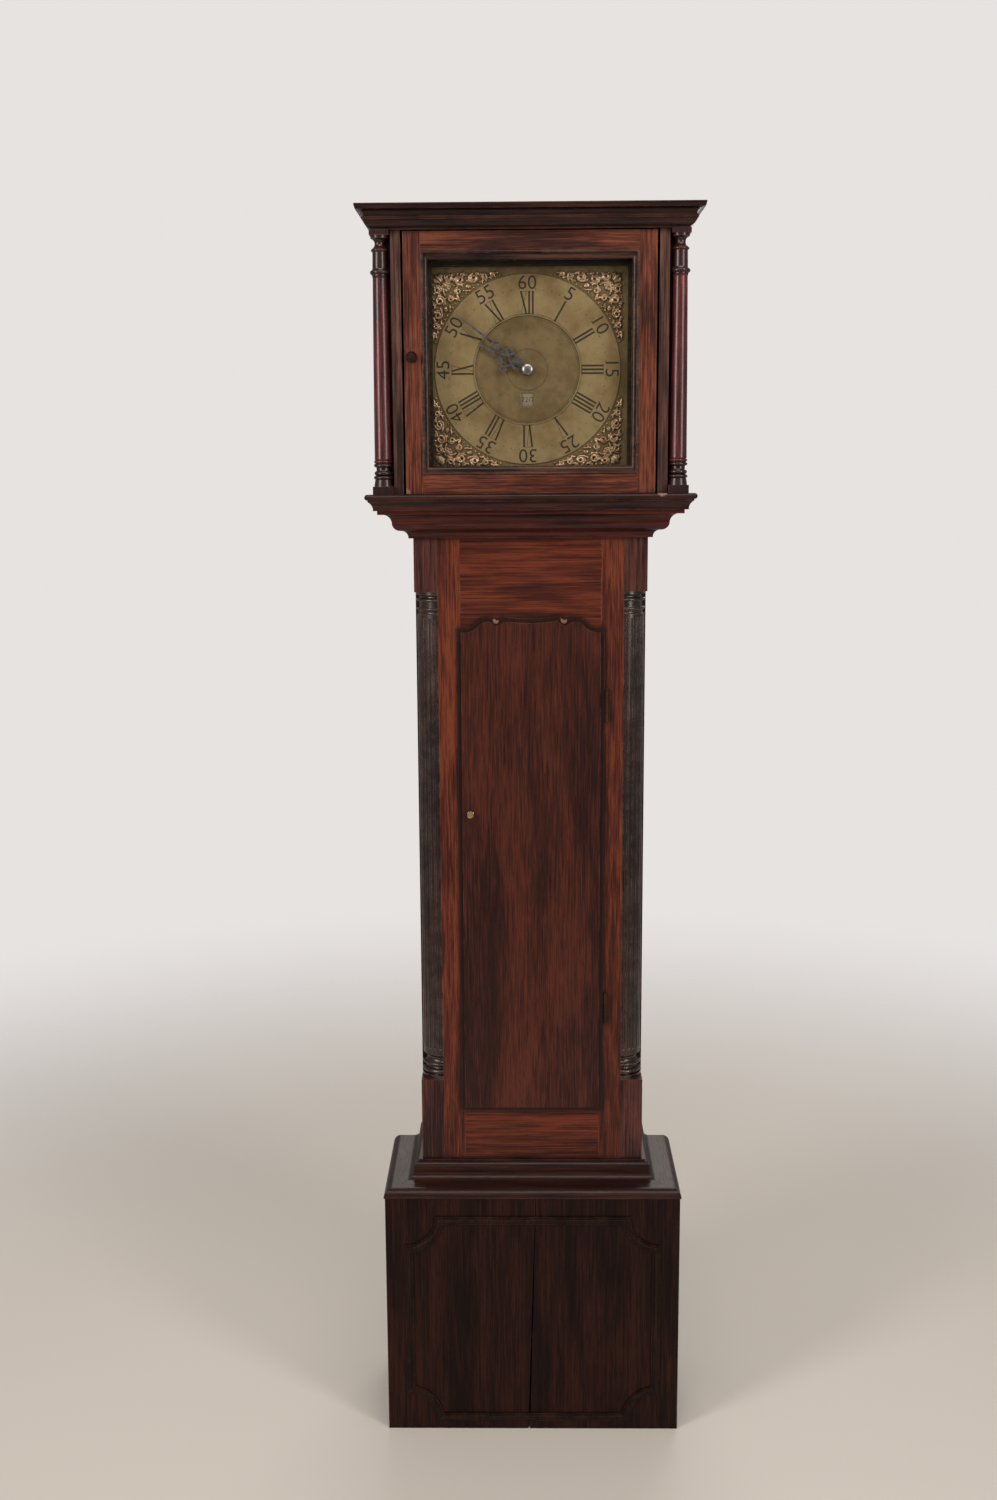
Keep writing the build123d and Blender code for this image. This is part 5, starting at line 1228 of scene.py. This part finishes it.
@dataclass
class WeightChains:
    """Chain of oval iron links, hung in two falls from the wheels down to what they carry."""

    wire: float = 0.65
    half_width: float = 2.0
    stretch: float = 2.0
    pitch: float = 5.4
    wheel: tuple[float, float] = (22.9, 1715.7)
    weight_reach: float = 23.5
    weight_foot: tuple[float, float] = (22.9, 1330.0)
    ring_reach: float = 53.5
    ring_foot: tuple[float, float] = (-16.1, 873.5)

    def pair(self, start: Vector, step: Vector) -> Object:
        """Models two links, the second a quarter turn round from the first.

        Args:
            start: The middle of the first link.
            step: From one link's middle to the next one's.

        Returns:
            The two links.
        """
        links = []
        for place in range(2):
            link = begun(bpy.ops.mesh.primitive_torus_add, major_segments=8, minor_segments=4,
                         major_radius=(self.half_width - self.wire) * MM, minor_radius=self.wire * MM,
                         rotation=FACING_FRONT)
            for rise in (-self.stretch, self.stretch):
                for vertex in link.data.vertices:
                    vertex.select = vertex.co.z * rise > 0
                for edge in link.data.edges:
                    edge.select = all(link.data.vertices[end].select for end in edge.vertices)
                with editing(link):
                    bpy.ops.transform.translate(value=(0, 0, rise * MM))
                    bpy.ops.mesh.select_all(action="DESELECT")
            link.rotation_euler = (0, 0, place * math.pi / 2)
            link.location = (start + place * step) * MM
            settle(link)
            links.append(link)
        return joined(links, "link_pair")

    def build_falls(self, node: str, body: str, reach: float, foot_yz: tuple[float, float]) -> None:
        """Hangs two falls of links, from the wheels down to what they carry.

        Args:
            node: The plain bars that they stand for.
            body: The body that they carry.
            reach: Each fall's distance from the dial's middle.
            foot_yz: The depth and height where the falls end.
        """
        head, foot = Vector((DIAL_X, *self.wheel)), Vector((DIAL_X, *foot_yz))
        pairs = round((foot - head).length / self.pitch / 2)
        step = (foot - head) / (2 * pairs)
        falls = []
        for side in (-reach, reach):
            fall = self.pair(head + Vector((side, 0, 0)) + step / 2, step)
            row = fall.modifiers.new("row", "ARRAY")
            row.count = pairs
            row.use_relative_offset, row.use_constant_offset = False, True
            row.constant_offset_displace = 2 * step * MM
            bpy.ops.object.modifier_apply(modifier=row.name)
            bpy.ops.object.shade_smooth()
            falls.append(fall)
        chain = joined(falls, f"{node}_links")
        SHOP.dress(chain, "chain_iron")
        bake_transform(chain)
        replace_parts(chain, node)
        LOG.info("made %s, %d faces, from case to %s", chain.name, len(chain.data.polygons), body)

    def build(self) -> None:
        """Makes the chain of the driving weight and the loose chain of the ring."""
        self.build_falls("weight_chain", "weight_body", self.weight_reach, self.weight_foot)
        self.build_falls("slack_chain", "ring_body", self.ring_reach, self.ring_foot)


@dataclass(frozen=True)
class StudioCamera:
    """The camera that took the picture, standing in front at eye height."""

    place: tuple[float, float, float] = (-14.4, -2528.8, 1591.0)
    yaw: float = -0.86
    pitch: float = 10.12
    roll: float = 0.35
    lens: float = 38.12
    sensor: float = 36.0
    reach: float = 60.0

    def build(self) -> None:
        """Makes the camera and gives it to the scene."""
        turn = Matrix.Translation([c * MM for c in self.place])
        for angle, axis in ((-self.yaw, "Z"), (90 - self.pitch, "X"), (-self.roll, "Z")):
            turn = turn @ Matrix.Rotation(math.radians(angle), 4, axis)
        bpy.ops.object.camera_add()
        camera = bpy.context.object
        camera.name = "studio_camera"
        camera.matrix_world = turn
        camera.data.lens, camera.data.sensor_width, camera.data.clip_end = self.lens, self.sensor, self.reach
        camera.data.dof.use_dof = False
        bpy.context.scene.camera = camera


@dataclass(frozen=True)
class SoftLamp:
    """A large soft lamp aimed at the clock, with its places in metres."""

    name: str
    place: tuple[float, float, float]
    target: tuple[float, float, float]
    size: tuple[float, float]
    watts: float
    colour: str = "#FFF6EC"

    def build(self) -> None:
        """Makes the lamp."""
        bpy.ops.object.light_add(type="AREA", location=self.place)
        lamp = bpy.context.object
        lamp.name, lamp.data.shape = self.name, "RECTANGLE"
        lamp.data.size, lamp.data.size_y = self.size
        lamp.data.energy = self.watts
        lamp.data.color = linear(self.colour)[:3]
        aim = Vector(self.target) - Vector(self.place)
        lamp.rotation_euler = aim.to_track_quat("-Z", "Y").to_euler()


@dataclass
class Studio:
    """A pale floor and even surroundings with soft lamps, and no wall that could hide the back.

    Its sizes are in metres.
    """

    floor_half: float = 9.0
    floor_fade: tuple[float, float] = (0.9, 3.2)
    floor_colour: str = "#DAD4CD"
    floor_light: str = "#DFDAD4"
    seen_colour: str = "#E7E3E1"
    air_colour: str = "#F4F2F0"
    ambient: float = 0.26
    lamps: tuple[SoftLamp, ...] = (
        SoftLamp("lamp_left", (-2.6, -2.3, 2.3), (0, 0, 1.1), (1.0, 2.2), 62.0),
        SoftLamp("lamp_right", (2.4, -2.4, 2.1), (0, 0, 1.1), (0.8, 2.2), 44.0),
        SoftLamp("lamp_above", (0.2, -1.8, 3.6), (0, 0, 1.2), (2.4, 1.2), 34.0),
        SoftLamp("lamp_behind", (0.4, 2.6, 2.6), (0, 0, 1.0), (2.2, 2.2), 30.0),
    )

    def build_floor(self) -> None:
        """Makes the floor sheet, which fades out into the pale ground behind."""
        floor = begun(bpy.ops.mesh.primitive_plane_add, size=2 * self.floor_half)
        floor.name = "studio_floor"
        with editing(floor):
            bpy.ops.mesh.inset(thickness=0.5)
        material, tree, place = start_material("studio_floor_paint")
        cloud = add_node(tree, "TexNoise", {"Vector": place, "Scale": 0.8, "Detail": 2.0})
        paint = add_node(tree, "Mix", {0: cloud, 6: self.floor_colour, 7: self.floor_light}, data_type="RGBA")
        shader = add_node(tree, "BsdfPrincipled", {"Base Color": paint, "Roughness": 0.6})
        near, gone = self.floor_fade
        far = add_node(tree, "VectorMath", {0: place}, operation="LENGTH")
        fade = add_node(tree, "MapRange", {"Value": far, "From Min": near, "From Max": gone},
                        interpolation_type="SMOOTHSTEP")
        clear = add_node(tree, "BsdfTransparent")
        mix = add_node(tree, "MixShader", {0: fade, 1: shader, 2: clear})
        add_node(tree, "OutputMaterial", {"Surface": mix})
        floor.data.materials.append(material)

    def build_world(self) -> None:
        """Makes even light, and a pale ground wherever the camera or the glass looks past the clock."""
        world = bpy.data.worlds.new("studio_air")
        bpy.context.scene.world = world
        world.use_nodes = True
        tree = world.node_tree
        tree.nodes.clear()
        light = add_node(tree, "Background", {"Color": self.air_colour, "Strength": self.ambient})
        seen = add_node(tree, "Background", {"Color": self.seen_colour, "Strength": 1.0})
        rays = add_node(tree, "LightPath").outputs
        direct = add_node(tree, "Math", {0: rays["Is Camera Ray"], 1: rays["Is Transmission Ray"]},
                          operation="MAXIMUM")
        mix = add_node(tree, "MixShader", {0: direct, 1: light, 2: seen})
        add_node(tree, "OutputWorld", {"Surface": mix})

    def build(self) -> None:
        """Makes the floor, the surroundings and the lamps."""
        self.build_floor()
        self.build_world()
        for lamp in self.lamps:
            lamp.build()
        bpy.context.scene.view_settings.view_transform = "Standard"


def main() -> None:
    """Builds the looks in order and reports each piece."""
    logging.basicConfig(level=logging.INFO, format="%(message)s")
    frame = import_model()
    StudioCamera().build()
    Studio().build()
    SHOP.dress_frame(frame["nodes"])
    Dial().build()
    CornerCasting().build()
    WeightChains().build()


if __name__ == "__main__":
    main()
